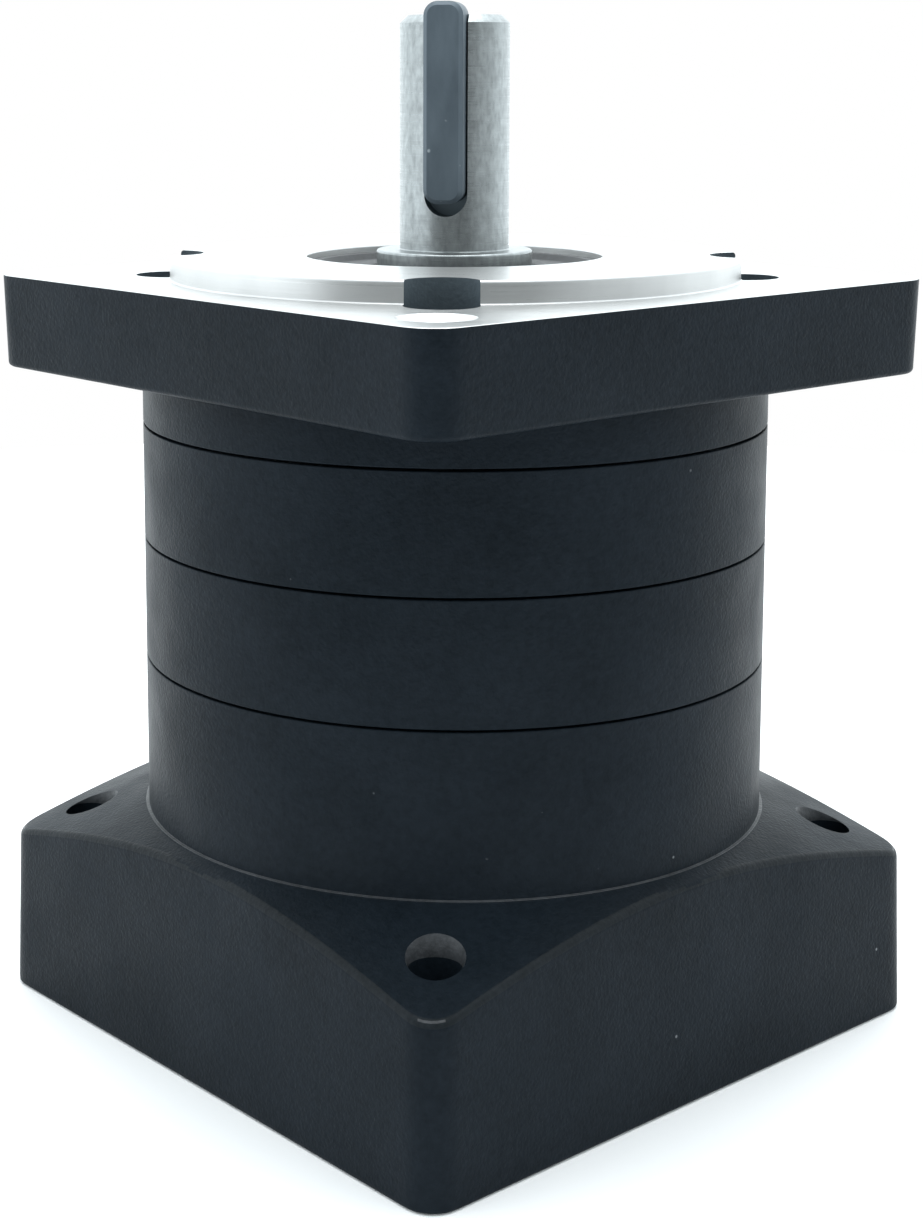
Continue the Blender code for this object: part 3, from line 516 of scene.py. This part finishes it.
def flange_housing():
    front_bore, front_outer, front_top = 14.0 * MM, 16.3 * MM, 92.4 * MM
    rear_outer, rear_top = 32.8 * MM, 84.6 * MM
    seal_bore, seal_floor = SEAL_HIGH.y + 0.15 * MM, SEAL_LOW.z - GAP
    seam = HOUSING_LOW.z

    def profile_at(angle):
        top = square_reach(angle, FLANGE_SIDE / 2, FLANGE_CORNER)
        bottom = square_reach(angle, FLANGE_SIDE / 2 - FLANGE_DRAFT, FLANGE_CORNER)
        points = [
            ((rear_outer, seam), 0), ((BODY_RADIUS, seam), SEAM_EDGE), ((BODY_RADIUS, FLANGE_BOTTOM), 0.5 * MM),
            ((bottom, FLANGE_BOTTOM), 0.6 * MM), ((top, FLANGE_TOP), 0.22 * MM),
            ((PILOT_RADIUS, FLANGE_TOP), 0.25 * MM), ((PILOT_RADIUS, PILOT_TOP), 0.4 * MM),
            ((seal_bore, PILOT_TOP), 0.35 * MM), ((seal_bore, seal_floor), 0), ((front_bore, seal_floor), 0),
            ((front_bore, front_top), 0), ((front_outer, front_top), 0), ((front_outer, rear_top), 0),
            ((rear_outer, rear_top), 0),
        ]
        return rounded_pairs(points)

    housing = polar_solid("flange_housing_shell", square_angles(), profile_at)
    boolean(housing, tie_screw_space)

    def corner_threads(work):
        profile = thread_profile(FLANGE_THREAD, FLANGE_THREAD_MOUTH, FLANGE_BOTTOM, FLANGE_TOP,
                                 FLANGE_THREAD_PITCH)
        for angle in CORNERS:
            add_turned(work, profile, HOLE_SEGMENTS, around(BOLT_CIRCLE, angle))

    boolean(housing, corner_threads)
    shade(housing)

    def pick(centre, normal):
        radius = math.hypot(centre.x, centre.y)
        # Painted reflection: the tie pockets take the lighter pocket paint (slot 2); their mouths on the top face
        # stay machined aluminium.
        if axis_distance(centre, TIE_CIRCLE) < TIE_POCKET + 0.03 * MM and centre.z > TIE_HEAD_BOTTOM - 1 * MM:
            pocket_mouth = abs(normal.z) > 0.9 and centre.z > FLANGE_TOP - 0.1 * MM
            return 1 if pocket_mouth else 2
        in_thread = axis_distance(centre, BOLT_CIRCLE) < FLANGE_THREAD_MOUTH + 0.03 * MM
        if in_thread and centre.z > FLANGE_BOTTOM and abs(normal.z) < 0.98:
            return 1
        bored = radius < PILOT_RADIUS + 0.3 * MM and centre.z > seam + 0.1 * MM
        faced = centre.z > FLANGE_TOP - 0.05 * MM
        return 1 if bored or faced else 0

    dress(housing, [PAINT, ALUMINIUM, POCKET_REFLECTION_PAINT], pick)
    stand_for(housing, "casing", "output_flange_housing")


def motor_adapter():
    seal_bore, seal_top = 18.8 * MM, 34.6 * MM
    ledge, bearing_bottom, bearing_bore = 16.0 * MM, 36.0 * MM, 21.3 * MM
    groove_bottom, groove_top, groove_radius = 45.45 * MM, 46.8 * MM, 22.3 * MM
    seam = SEAM_1 - GAP / 2

    def profile_at(angle):
        side = square_reach(angle, ADAPTER_SIDE / 2, ADAPTER_CORNER)
        edge = CONE_TOP - CONE_SLOPE * (side - BODY_RADIUS)
        shoulder = square_reach(angle, ADAPTER_SIDE / 2 - ADAPTER_DRAFT * edge, ADAPTER_CORNER)
        points = [
            ((MOTOR_RECESS_RADIUS, 0), 0.25 * MM), ((side, 0), 0.45 * MM),
            ((shoulder, edge), CONE_EDGE),
            ((BODY_RADIUS + BEAD_WIDTH, CONE_TOP - CONE_SLOPE * BEAD_WIDTH), 0.05 * MM),
            ((BODY_RADIUS + BEAD_WIDTH, CONE_TOP + BEAD_RISE), 0.12 * MM),
            ((BODY_RADIUS, CONE_TOP + BEAD_RISE), 0.1 * MM), ((BODY_RADIUS, seam), SEAM_EDGE),
            ((SPIGOT_OUTER, seam), 0), ((SPIGOT_OUTER, seam + SPIGOT_HEIGHT), 0.2 * MM),
            ((SPIGOT_INNER, seam + SPIGOT_HEIGHT), 0.2 * MM), ((SPIGOT_INNER, WEB_TOP), 0),
            ((bearing_bore, WEB_TOP), 0.2 * MM), ((bearing_bore, groove_top), 0),
            ((groove_radius, groove_top), 0), ((groove_radius, groove_bottom), 0),
            ((bearing_bore, groove_bottom), 0), ((bearing_bore, bearing_bottom), 0),
            ((ledge, bearing_bottom), 0), ((ledge, seal_top), 0), ((seal_bore, seal_top), 0),
            ((seal_bore, CAVITY_TOP), 0.3 * MM), ((CAVITY_RADIUS, CAVITY_TOP), 0.6 * MM),
            ((CAVITY_RADIUS, MOTOR_RECESS_DEPTH), 0.2 * MM), ((MOTOR_RECESS_RADIUS, MOTOR_RECESS_DEPTH), 0),
        ]
        return rounded_pairs(points, 5)

    adapter = polar_solid("motor_adapter_shell", square_angles(), profile_at)

    def holes(work):
        rim = CONE_TOP - CONE_SLOPE * (BOLT_CIRCLE - BODY_RADIUS)
        chamfer, above = 0.3 * MM, CONE_TOP + 2 * MM
        profile = [(0, -SMALL_CUT_PAST), (MOTOR_HOLE + chamfer, -SMALL_CUT_PAST), (MOTOR_HOLE + chamfer, 0),
                   (MOTOR_HOLE, chamfer), (MOTOR_HOLE, rim - 1.1 * MM),
                   (MOTOR_COUNTERSINK, rim + MOTOR_COUNTERSINK * CONE_SLOPE + 0.3 * MM),
                   (MOTOR_COUNTERSINK, above), (0, above)]
        for angle in CORNERS:
            add_turned(work, profile, HOLE_SEGMENTS, around(BOLT_CIRCLE, angle))
        for angle in CORNERS:
            add_turned(work, rod(TIE_HOLE, TIE_HOLE_FLOOR, SEAM_1 + CUT_PAST), 24, around(TIE_CIRCLE, angle))
        access_start, access_bore, access_mouth, side = CAVITY_RADIUS / 2, 5.25 * MM, 5.7 * MM, ADAPTER_SIDE / 2
        access = [(0, access_start), (access_bore, access_start), (access_bore, side - 0.4 * MM),
                  (access_mouth, side + 0.05 * MM), (access_mouth, side + CUT_PAST), (0, side + CUT_PAST)]
        add_turned(work, access, HOLE_SEGMENTS, access_place(0))

    boolean(adapter, holes)
    shade(adapter)

    def pick(centre, normal):
        radius = math.hypot(centre.x, centre.y)
        inside = radius < SPIGOT_OUTER + 0.1 * MM and centre.z > 0.1 * MM
        machined_bottom = centre.z < 0.02 * MM and normal.z < -0.9
        recess = radius < MOTOR_RECESS_RADIUS + 0.2 * MM and centre.z < MOTOR_RECESS_DEPTH + 0.1 * MM
        if inside or machined_bottom or recess:
            return 1
        # Painted highlight: the motor holes' walls get the highlight paint (slot 3).
        in_hole = axis_distance(centre, BOLT_CIRCLE) < MOTOR_COUNTERSINK - 0.02 * MM
        if in_hole and centre.z > CONE_TOP - 10 * MM and normal.z < 0.9:
            return 3
        # Painted highlight: the bead line where the barrel meets the cone gets the highlight paint (slot 3).
        on_bead = BODY_RADIUS + 0.02 * MM < radius < BODY_RADIUS + BEAD_WIDTH and centre.z > CONE_TOP
        # Painted sheen: the rounding between the cone and the sides gets the lighter edge paint (slot 2).
        rounding = math.hypot(normal.x, normal.y) > 0.42 and normal.z > 0.25
        if rounding and radius > BODY_RADIUS + 2 * MM:
            # Painted highlight: one row of the corner's rounding gets the highlight paint (slot 3).
            corner = radius > ADAPTER_SIDE / 2 * math.sqrt(2) - 3.2 * MM
            return 3 if corner and 0.70 < normal.z < 0.80 else 2
        return 3 if on_bead else 0

    dress(adapter, [PAINT, ALUMINIUM, EDGE_SHEEN_PAINT, HIGHLIGHT_PAINT], pick)
    stand_for(adapter, "casing", "motor_adapter")


# Gears

def involute(angle):
    return math.tan(angle) - angle


def flank_angle(teeth, radius, half_thickness):
    """Half the angle that one tooth spans at a radius."""
    pitch = teeth * MODULE / 2
    base = pitch * math.cos(PRESSURE_ANGLE)
    at_radius = math.acos(min(1.0, base / radius)) if radius > base else 0.0
    return half_thickness / pitch + involute(PRESSURE_ANGLE) - involute(at_radius)


def tooth_points(teeth, tip, root, half_thickness, phase, flank_steps=4):
    """(angle, radius) pairs around a gear that has a tooth centred on the phase angle."""
    points = []
    for tooth in range(teeth):
        centre = phase + 2 * math.pi * tooth / teeth
        radii = [root + (tip - root) * step / flank_steps for step in range(flank_steps + 1)]
        for radius in radii:
            points.append((centre - flank_angle(teeth, radius, half_thickness), radius))
        points.append((centre, tip))
        for radius in reversed(radii):
            points.append((centre + flank_angle(teeth, radius, half_thickness), radius))
        points.append((centre + math.pi / teeth, root))
    return points


def external_teeth(teeth, phase):
    pitch = teeth * MODULE / 2
    half = (math.pi * MODULE / 2 - FLANK_RELIEF) / 2
    return tooth_points(teeth, pitch + MODULE, pitch - DEDENDUM, half, phase)


def ring_teeth():
    """The ring gears' inner outline, drawn as an external gear whose teeth are the ring's gaps."""
    pitch = RING_TEETH * MODULE / 2
    half = (math.pi * MODULE / 2 + FLANK_RELIEF) / 2
    return tooth_points(RING_TEETH, pitch + DEDENDUM, pitch - MODULE, half,
                        PLANET_START + math.pi / RING_TEETH)


def ring_shell(name, cad_node, outline):
    """Ring gear segment. Corners of the outline whose radius is None take the tooth profile's."""
    teeth = dict(ring_teeth())

    def profile_at(angle):
        corners = [((teeth[angle] if radius is None else radius, height), rounding)
                   for radius, height, rounding in outline]
        return rounded_pairs(corners, 3)

    shell = polar_solid(name, list(teeth), profile_at)
    boolean(shell, tie_screw_space)
    shade(shell)
    steel_radius = 34 * MM
    dress(shell, [PAINT, GEAR_STEEL],
          lambda centre, normal: int(math.hypot(centre.x, centre.y) < steel_radius))
    stand_for(shell, "casing", cad_node)


def ring_shells():
    counterbore = SPIGOT_OUTER + GAP
    half_gap = GAP / 2
    low, high = SEAM_1 + half_gap, SEAM_2 - half_gap
    ring_shell("input_ring_shell", "input_ring_gear", [
        (None, low + SPIGOT_HEIGHT, 0), (counterbore, low + SPIGOT_HEIGHT, 0), (counterbore, low, 0),
        (BODY_RADIUS, low, SEAM_EDGE), (BODY_RADIUS, high, SEAM_EDGE), (counterbore, high, 0),
        (counterbore, high - SPIGOT_HEIGHT - GAP, 0), (None, high - SPIGOT_HEIGHT - GAP, 0)])
    low, high = SEAM_2 + half_gap, SEAM_3 - half_gap
    bearing_seat, seat_floor = 32.8 * MM, 77.0 * MM
    ring_shell("output_ring_shell", "output_ring_gear", [
        (None, low, 0), (SPIGOT_INNER, low, 0), (SPIGOT_INNER, SEAM_2 - SPIGOT_HEIGHT, 0),
        (SPIGOT_OUTER, SEAM_2 - SPIGOT_HEIGHT, 0), (SPIGOT_OUTER, low, 0), (BODY_RADIUS, low, SEAM_EDGE),
        (BODY_RADIUS, high, SEAM_EDGE), (bearing_seat, high, 0), (bearing_seat, seat_floor, 0),
        (None, seat_floor, 0)])


def gear_piece(name, cad_node, body, teeth, phase, centre, bore, bottom, top):
    """External gear with chamfered tooth ends around a bore."""
    outline = dict(external_teeth(teeth, phase))
    edge = 0.3 * MM

    def profile_at(angle):
        tip = outline[angle]
        return [(bore, bottom + edge), (bore + edge, bottom), (tip - edge, bottom), (tip, bottom + edge),
                (tip, top - edge), (tip - edge, top), (bore + edge, top), (bore, top - edge)]

    gear = polar_solid(name, list(outline), profile_at)
    gear.data.transform(Matrix.Translation((centre[0], centre[1], 0)))
    shade(gear, 30)
    dress(gear, [GEAR_STEEL])
    stand_for(gear, body, cad_node)


def planet_gears():
    for stage in ("output", "input"):
        for number in (1, 2, 3):
            angle = PLANET_START + 2 * math.pi * (number - 1) / 3
            cad_node = f"{stage}_planet_gear_{number}"
            low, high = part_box(cad_node)
            centre = (PLANET_CIRCLE * math.cos(angle), PLANET_CIRCLE * math.sin(angle))
            gear_piece(f"{stage}_planet_{number}_toothed", cad_node, f"{stage}_planet_{number}", PLANET_TEETH,
                       angle + math.pi / PLANET_TEETH, centre, PLANET_BORE, low.z, high.z)


# Output shaft, key and seals

def key_outline(width, bottom, top, corner, inset=0.0, steps=9):
    """Key outline as (across, height) points with rounded corners, drawn in by inset."""
    half, turn = width / 2 - inset, corner - inset
    right, high, low = half - turn, top - inset - turn, bottom + inset + turn
    points = []
    for across, height, start in ((right, high, 0), (-right, high, 90), (-right, low, 180), (right, low, 270)):
        for step in range(steps + 1):
            angle = math.radians(start + 90 * step / steps)
            point = (across + turn * math.cos(angle), height + turn * math.sin(angle))
            if not points or math.dist(point, points[-1]) > 0.001 * MM:
                points.append(point)
    return points


def key_place():
    """Frame of the key: its X runs across the key, its Y up the shaft and its Z outwards."""
    stand = Matrix(((0, 0, 1, 0), (1, 0, 0, 0), (0, 1, 0, 0), (0, 0, 0, 1)))
    return Matrix.Rotation(KEY_ANGLE, 4, "Z") @ stand


def output_key():
    work = bmesh.new()
    low, high = KEY_TOP - KEY_LENGTH, KEY_TOP
    floor, top = KEY_FLOOR, KEY_FLOOR + KEY_HEIGHT
    full = key_outline(KEY_WIDTH, low, high, KEY_CORNER)
    drawn = key_outline(KEY_WIDTH, low, high, KEY_CORNER, KEY_CHAMFER)
    add_loft(work, [(drawn, floor), (full, floor + KEY_CHAMFER), (full, top - KEY_CHAMFER), (drawn, top)],
             key_place())
    key = new_object("output_key_bar", cleaned("output_key_bar", work))
    shade(key, 25)
    dress(key, [KEY_STEEL])
    stand_for(key, "output_shaft", "output_key")


def output_shaft():
    journal, seal_seat = 9.7 * MM, SEAL_LOW.z - 1 * MM
    carrier_face, carrier_top, carrier_radius = 76.2 * MM, 84.3 * MM, 24.7 * MM
    shoulder, shoulder_top, front_shoulder = 27.0 * MM, 77.0 * MM, 84.8 * MM
    pillar_circle, pillar_radius = 20 * MM, 4 * MM
    pin_hole_radius, pin_hole_top = 3.15 * MM, 82.6 * MM
    tip_chamfer, centre_hole, centre_mouth, centre_depth = 1 * MM, 2.1 * MM, 2.7 * MM, 12 * MM
    points = [
        ((0, carrier_face), 0), ((shoulder, carrier_face), 0.2 * MM), ((shoulder, shoulder_top), 0.2 * MM),
        ((carrier_radius, shoulder_top), 0), ((carrier_radius, carrier_top), 0.3 * MM),
        ((journal + 2 * MM, carrier_top), 0), ((journal + 2 * MM, front_shoulder), 0.2 * MM),
        ((journal, front_shoulder), 0), ((journal, seal_seat), 0.1 * MM), ((COLLAR_RADIUS, seal_seat), 0.1 * MM),
        ((COLLAR_RADIUS, COLLAR_TOP), 0.35 * MM), ((SHAFT_RADIUS, COLLAR_TOP), 0.2 * MM),
        ((SHAFT_RADIUS, SHAFT_TOP - tip_chamfer), 0.08 * MM),
        ((SHAFT_RADIUS - tip_chamfer, SHAFT_TOP), 0.08 * MM),
        ((centre_mouth, SHAFT_TOP), 0), ((centre_hole, SHAFT_TOP - 0.6 * MM), 0),
        ((centre_hole, SHAFT_TOP - centre_depth), 0), ((0, SHAFT_TOP - 13 * MM), 0),
    ]
    shaft = turned("output_shaft_turned", rounded_pairs(points), 160)
    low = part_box("output_shaft")[0]
    slot_width = KEY_WIDTH + 0.5 * MM
    slot_bottom = KEY_TOP - KEY_LENGTH - 1.7 * MM

    def pillars(work):
        for number in range(3):
            angle = PLANET_START + math.pi / 3 + 2 * math.pi * number / 3
            add_turned(work, rod(pillar_radius, low.z, carrier_face + 2 * MM), HOLE_SEGMENTS,
                       around(pillar_circle, angle))

    boolean(shaft, pillars, "UNION")

    def cuts(work):
        for number in range(3):
            angle = PLANET_START + 2 * math.pi * number / 3
            add_turned(work, rod(pin_hole_radius, low.z - CUT_PAST, pin_hole_top), HOLE_SEGMENTS,
                       around(PLANET_CIRCLE, angle))
        outline = key_outline(slot_width, slot_bottom, SHAFT_TOP + 10 * MM, slot_width / 2)
        add_loft(work, [(outline, KEY_FLOOR - 0.2 * MM), (outline, KEY_FLOOR + 10 * MM)], key_place())

    boolean(shaft, cuts)
    shade(shaft, 30)

    def pick(centre, normal):
        """The milled keyseat gets a darker metal than the ground journal: painted shade in the slot under the
        key.
        """
        across = -centre.x * math.sin(KEY_ANGLE) + centre.y * math.cos(KEY_ANGLE)
        out = centre.x * math.cos(KEY_ANGLE) + centre.y * math.sin(KEY_ANGLE)
        level = normal.x * math.cos(KEY_ANGLE) + normal.y * math.sin(KEY_ANGLE)
        between = abs(across) < slot_width / 2 + 0.01 * MM
        in_slot = between and out > KEY_FLOOR - 0.3 * MM and centre.z > slot_bottom
        wall = abs(level) < 0.05 and math.hypot(centre.x, centre.y) < SHAFT_RADIUS - 0.05 * MM
        return 1 if in_slot and (wall or out < KEY_FLOOR) else 0

    dress(shaft, [GROUND, KEYSEAT_SHADE], pick)
    stand_for(shaft, "output_shaft", "output_shaft")


def oil_seal(name, cad_node, bore, facing):
    """Lip seal: rubber-covered case, dished web and a lip that hugs the shaft."""
    low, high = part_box(cad_node)
    outer = high.y + 0.05 * MM
    front, back = (high.z, low.z) if facing > 0 else (low.z, high.z)

    def height(depth):
        return front - facing * depth * MM

    points = [
        ((outer, back), 0.3 * MM), ((outer, front), 0.25 * MM), ((outer - 1.2 * MM, front), 0.2 * MM),
        ((outer - 1.9 * MM, height(0.8)), 0.3 * MM), ((bore + 2.6 * MM, height(0.8)), 0.3 * MM),
        ((bore + 1.7 * MM, height(0.2)), 0.25 * MM), ((bore + 0.8 * MM, height(0.5)), 0.2 * MM),
        ((bore, height(1.2)), 0.1 * MM), ((bore + 0.4 * MM, height(2.0)), 0), ((bore + 0.2 * MM, back), 0),
    ]
    seal = turned(name, rounded_pairs(points), 144)
    shade(seal, 40)
    dress(seal, [SEAL_RUBBER])
    stand_for(seal, "casing", cad_node)


# Screws and plug

def hexagon(across_flats):
    corner = across_flats / math.sqrt(3)
    return [(corner * math.cos(math.radians(60 * k)), corner * math.sin(math.radians(60 * k)))
            for k in range(6)]


def socket_screw(name, cad_node, body, place, shank, length, head, head_height, socket):
    """Socket head screw: plain head with a chamfered rim, hexagon socket and thread rings."""
    pitch, root, first = 0.35 * shank, shank * 0.84, 0.3 * MM
    under_head, rim = 0.2 * MM, 0.3 * MM
    top = length + head_height
    points = [(0, 0), (shank * 0.8, 0)]
    turns = int(length * 0.45 / pitch)
    for turn in range(turns):
        base = first + turn * pitch
        points += [(root, base), (shank, base + 0.5 * pitch)]
    points += [(root, first + turns * pitch), (shank, first + (turns + 0.6) * pitch),
               (shank, length), (head - under_head, length), (head, length + under_head),
               (head, top - rim), (head - rim, top), (0, top)]
    screw = turned(name, points, 48)

    def socket_cut(work):
        floor = length + head_height * 0.45
        add_loft(work, [(hexagon(socket), floor), (hexagon(socket), length + head_height * 2)])

    boolean(screw, socket_cut)
    screw.data.transform(place)
    shade(screw, 30)
    dress(screw, [BLACK_OXIDE])
    stand_for(screw, body, cad_node)


def access_place(distance):
    """Frame of the access hole: its Z runs out through the adapter's side."""
    low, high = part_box("access_plug")
    place = Matrix.Translation(((low.x + high.x) / 2, distance, (low.z + high.z) / 2))
    return place @ Matrix.Rotation(math.radians(-90), 4, "X")


def screws_and_plug():
    for number, angle in enumerate(CORNERS, start=1):
        socket_screw(f"tie_screw_{number}_threaded", f"tie_screw_{number}", "casing",
                     around(TIE_CIRCLE, angle, TIE_END), 2.0 * MM, TIE_HEAD_BOTTOM - TIE_END, 3.5 * MM,
                     4.0 * MM, 3.0 * MM)
    low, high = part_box("clamp_screw")
    socket_screw("clamp_screw_threaded", "clamp_screw", "input_hub", access_place(low.y), 2.5 * MM,
                 high.y - low.y - 5.0 * MM, 4.2 * MM, 5.0 * MM, 4.0 * MM)
    low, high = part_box("access_plug")
    depth = high.y - low.y
    outer, narrowed, chamfer = 5.0 * MM, 4.6 * MM, 0.5 * MM
    points = [(0, 0), (narrowed, 0), (outer, chamfer), (outer, depth - chamfer), (narrowed, depth), (0, depth)]
    plug = turned("access_plug_threaded", points, 64)

    def socket_cut(work):
        add_loft(work, [(hexagon(5 * MM), depth / 2), (hexagon(5 * MM), depth * 2)])

    boolean(plug, socket_cut)
    plug.data.transform(access_place(low.y))
    shade(plug, 30)
    dress(plug, [PLUG_PLASTIC])
    stand_for(plug, "casing", "access_plug")


# CAD nodes that stay

def dress_kept_nodes():
    kept = {
        "bearing": BEARING_STEEL, "circlip": BEARING_STEEL, "pin": BEARING_STEEL, "bush": BRONZE,
        "carrier": GEAR_STEEL, "sun_gear": GEAR_STEEL, "input_hub": GEAR_STEEL, "sleeve": GEAR_STEEL,
        "clamp_collar": BLACK_OXIDE,
    }
    for name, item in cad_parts.items():
        for word, made in kept.items():
            if word in name:
                item.data.materials.clear()
                item.data.materials.append(made)


# Stage, light and camera

CAMERA_DISTANCE = 280.44 * MM
CAMERA_HEIGHT = 122.34 * MM
CAMERA_BEARING = math.radians(-42.85)
CAMERA_PITCH = math.radians(7.885)
CAMERA_YAW = math.radians(-2.352)
CAMERA_ROLL = math.radians(-0.136)
CAMERA_LENS, SENSOR_WIDTH = 64.41, 36           # millimetres, as Blender wants them
CAMERA_SHIFT_X, CAMERA_SHIFT_Y = 0.0791, -0.1905

# The light tent's strengths: its walls, and what its top and its left side add.
TENT_BACK, TENT_SIDE, TENT_FRONT, TENT_TOP, TENT_LEFT = 1.9, 0.92, 0.34, 0.66, 0.25
TENT_TINT = (0.90, 0.97, 1.0, 1.0)


def make_floor():
    """Round pale floor just under the part."""
    work = bmesh.new()
    bmesh.ops.create_circle(work, cap_ends=True, segments=96, radius=0.45)
    floor = new_object("floor", cleaned("floor", work))
    floor.location.z = -0.1 * MM
    made, tree, shader = new_material("pale_floor", (0.96, 0.96, 0.96), 0.9, 0.0, 0.0)
    mottle = noise(tree, place_vector(tree, (1, 1, 1)), 3, 2)
    tree.links.new(ramp(tree, mottle, ((0.0, (0.95, 0.95, 0.95)), (1.0, (0.97, 0.97, 0.97)))),
                   shader.inputs["Base Color"])
    dress(floor, [made])


def make_world():
    """Light tent: bright wall behind the part, dim opening round the camera, more light above and on the left.

    The camera itself sees plain white.
    """
    world = bpy.data.worlds.new("light_tent")
    bpy.context.scene.world = world
    world.use_nodes = True
    tree = world.node_tree
    background = tree.nodes["Background"]
    source = node(tree, "ShaderNodeTexCoord")

    def lobe(direction, low, high, start, end):
        facing = node(tree, "ShaderNodeVectorMath", operation="DOT_PRODUCT")
        facing.inputs[1].default_value = direction
        tree.links.new(source.outputs["Generated"], facing.inputs[0])
        made = spread(tree, facing.outputs["Value"], low, high, start, end)
        made.node.interpolation_type = "SMOOTHSTEP"
        return made

    def total(first, second):
        added = node(tree, "ShaderNodeMath", operation="ADD")
        tree.links.new(first, added.inputs[0])
        tree.links.new(second, added.inputs[1])
        return added.outputs[0]

    opening = CAMERA_BEARING - math.radians(6)      # the tent's opening, a little off the camera's bearing
    towards = (math.cos(opening), math.sin(opening), 0)
    left = (math.cos(CAMERA_BEARING - math.pi / 2), math.sin(CAMERA_BEARING - math.pi / 2), 0)
    walls = total(lobe(towards, TENT_BACK, TENT_SIDE, -0.7, 0.3),
                  lobe(towards, 0.0, TENT_FRONT - TENT_SIDE, 0.4, 0.85))
    with_top = total(walls, lobe((0, 0, 1), 0.0, TENT_TOP, 0.25, 0.85))
    level = total(with_top, lobe(left, 0.0, TENT_LEFT, 0.3, 0.95))
    path = node(tree, "ShaderNodeLightPath")
    strength = node(tree, "ShaderNodeMix", data_type="FLOAT")
    strength.inputs["B"].default_value = 1.0
    tree.links.new(path.outputs["Is Camera Ray"], strength.inputs["Factor"])
    tree.links.new(level, strength.inputs["A"])
    tree.links.new(strength.outputs["Result"], background.inputs["Strength"])
    tint = node(tree, "ShaderNodeMix", data_type="RGBA")
    tint.inputs["A"].default_value = TENT_TINT
    tint.inputs["B"].default_value = (1.0, 1.0, 1.0, 1.0)
    tree.links.new(path.outputs["Is Camera Ray"], tint.inputs["Factor"])
    tree.links.new(tint.outputs["Result"], background.inputs["Color"])


def add_area(name, location, target, size, power, colour=(1, 1, 1)):
    data = bpy.data.lights.new(name, "AREA")
    data.shape = "DISK"
    data.size = size
    data.energy = power
    data.color = colour
    lamp = new_object(name, data)
    lamp.location = location
    lamp.rotation_euler = (Vector(target) - Vector(location)).to_track_quat("-Z", "Y").to_euler()
    lamp.visible_camera = False
    return lamp


def make_lights():
    back = CAMERA_BEARING + math.pi
    middle = (0, 0, 0.07)
    add_area("top_softbox", (0.1 * math.cos(back), 0.1 * math.sin(back), 0.8), middle, 0.7, 3.4)
    left = CAMERA_BEARING - math.radians(75)
    add_area("left_softbox", (0.75 * math.cos(left), 0.75 * math.sin(left), 0.18), middle, 0.7, 0.9,
             (0.9, 0.96, 1.0))


def make_camera():
    data = bpy.data.cameras.new("photo_camera")
    data.sensor_width = SENSOR_WIDTH
    data.lens = CAMERA_LENS
    data.shift_x = CAMERA_SHIFT_X
    data.shift_y = CAMERA_SHIFT_Y
    data.clip_start = 0.01
    camera = new_object("photo_camera", data)
    heading = CAMERA_BEARING + math.pi - CAMERA_YAW
    look = Vector((math.cos(heading) * math.cos(CAMERA_PITCH), math.sin(heading) * math.cos(CAMERA_PITCH),
                   -math.sin(CAMERA_PITCH)))
    turn = look.to_track_quat("-Z", "Y") @ Matrix.Rotation(CAMERA_ROLL, 3, "Z").to_quaternion()
    stand = around(CAMERA_DISTANCE, CAMERA_BEARING, CAMERA_HEIGHT)
    camera.matrix_world = stand @ turn.to_matrix().to_4x4()
    bpy.context.scene.camera = camera


def main():
    bpy.context.scene.view_settings.view_transform = "Standard"
    make_world()
    make_lights()
    make_camera()
    make_floor()
    flange_housing()
    motor_adapter()
    ring_shells()
    planet_gears()
    output_shaft()
    output_key()
    oil_seal("output_lip_seal", "output_oil_seal", 10.05 * MM, 1)
    oil_seal("input_lip_seal", "input_oil_seal", 13.05 * MM, -1)
    screws_and_plug()
    dress_kept_nodes()


main()
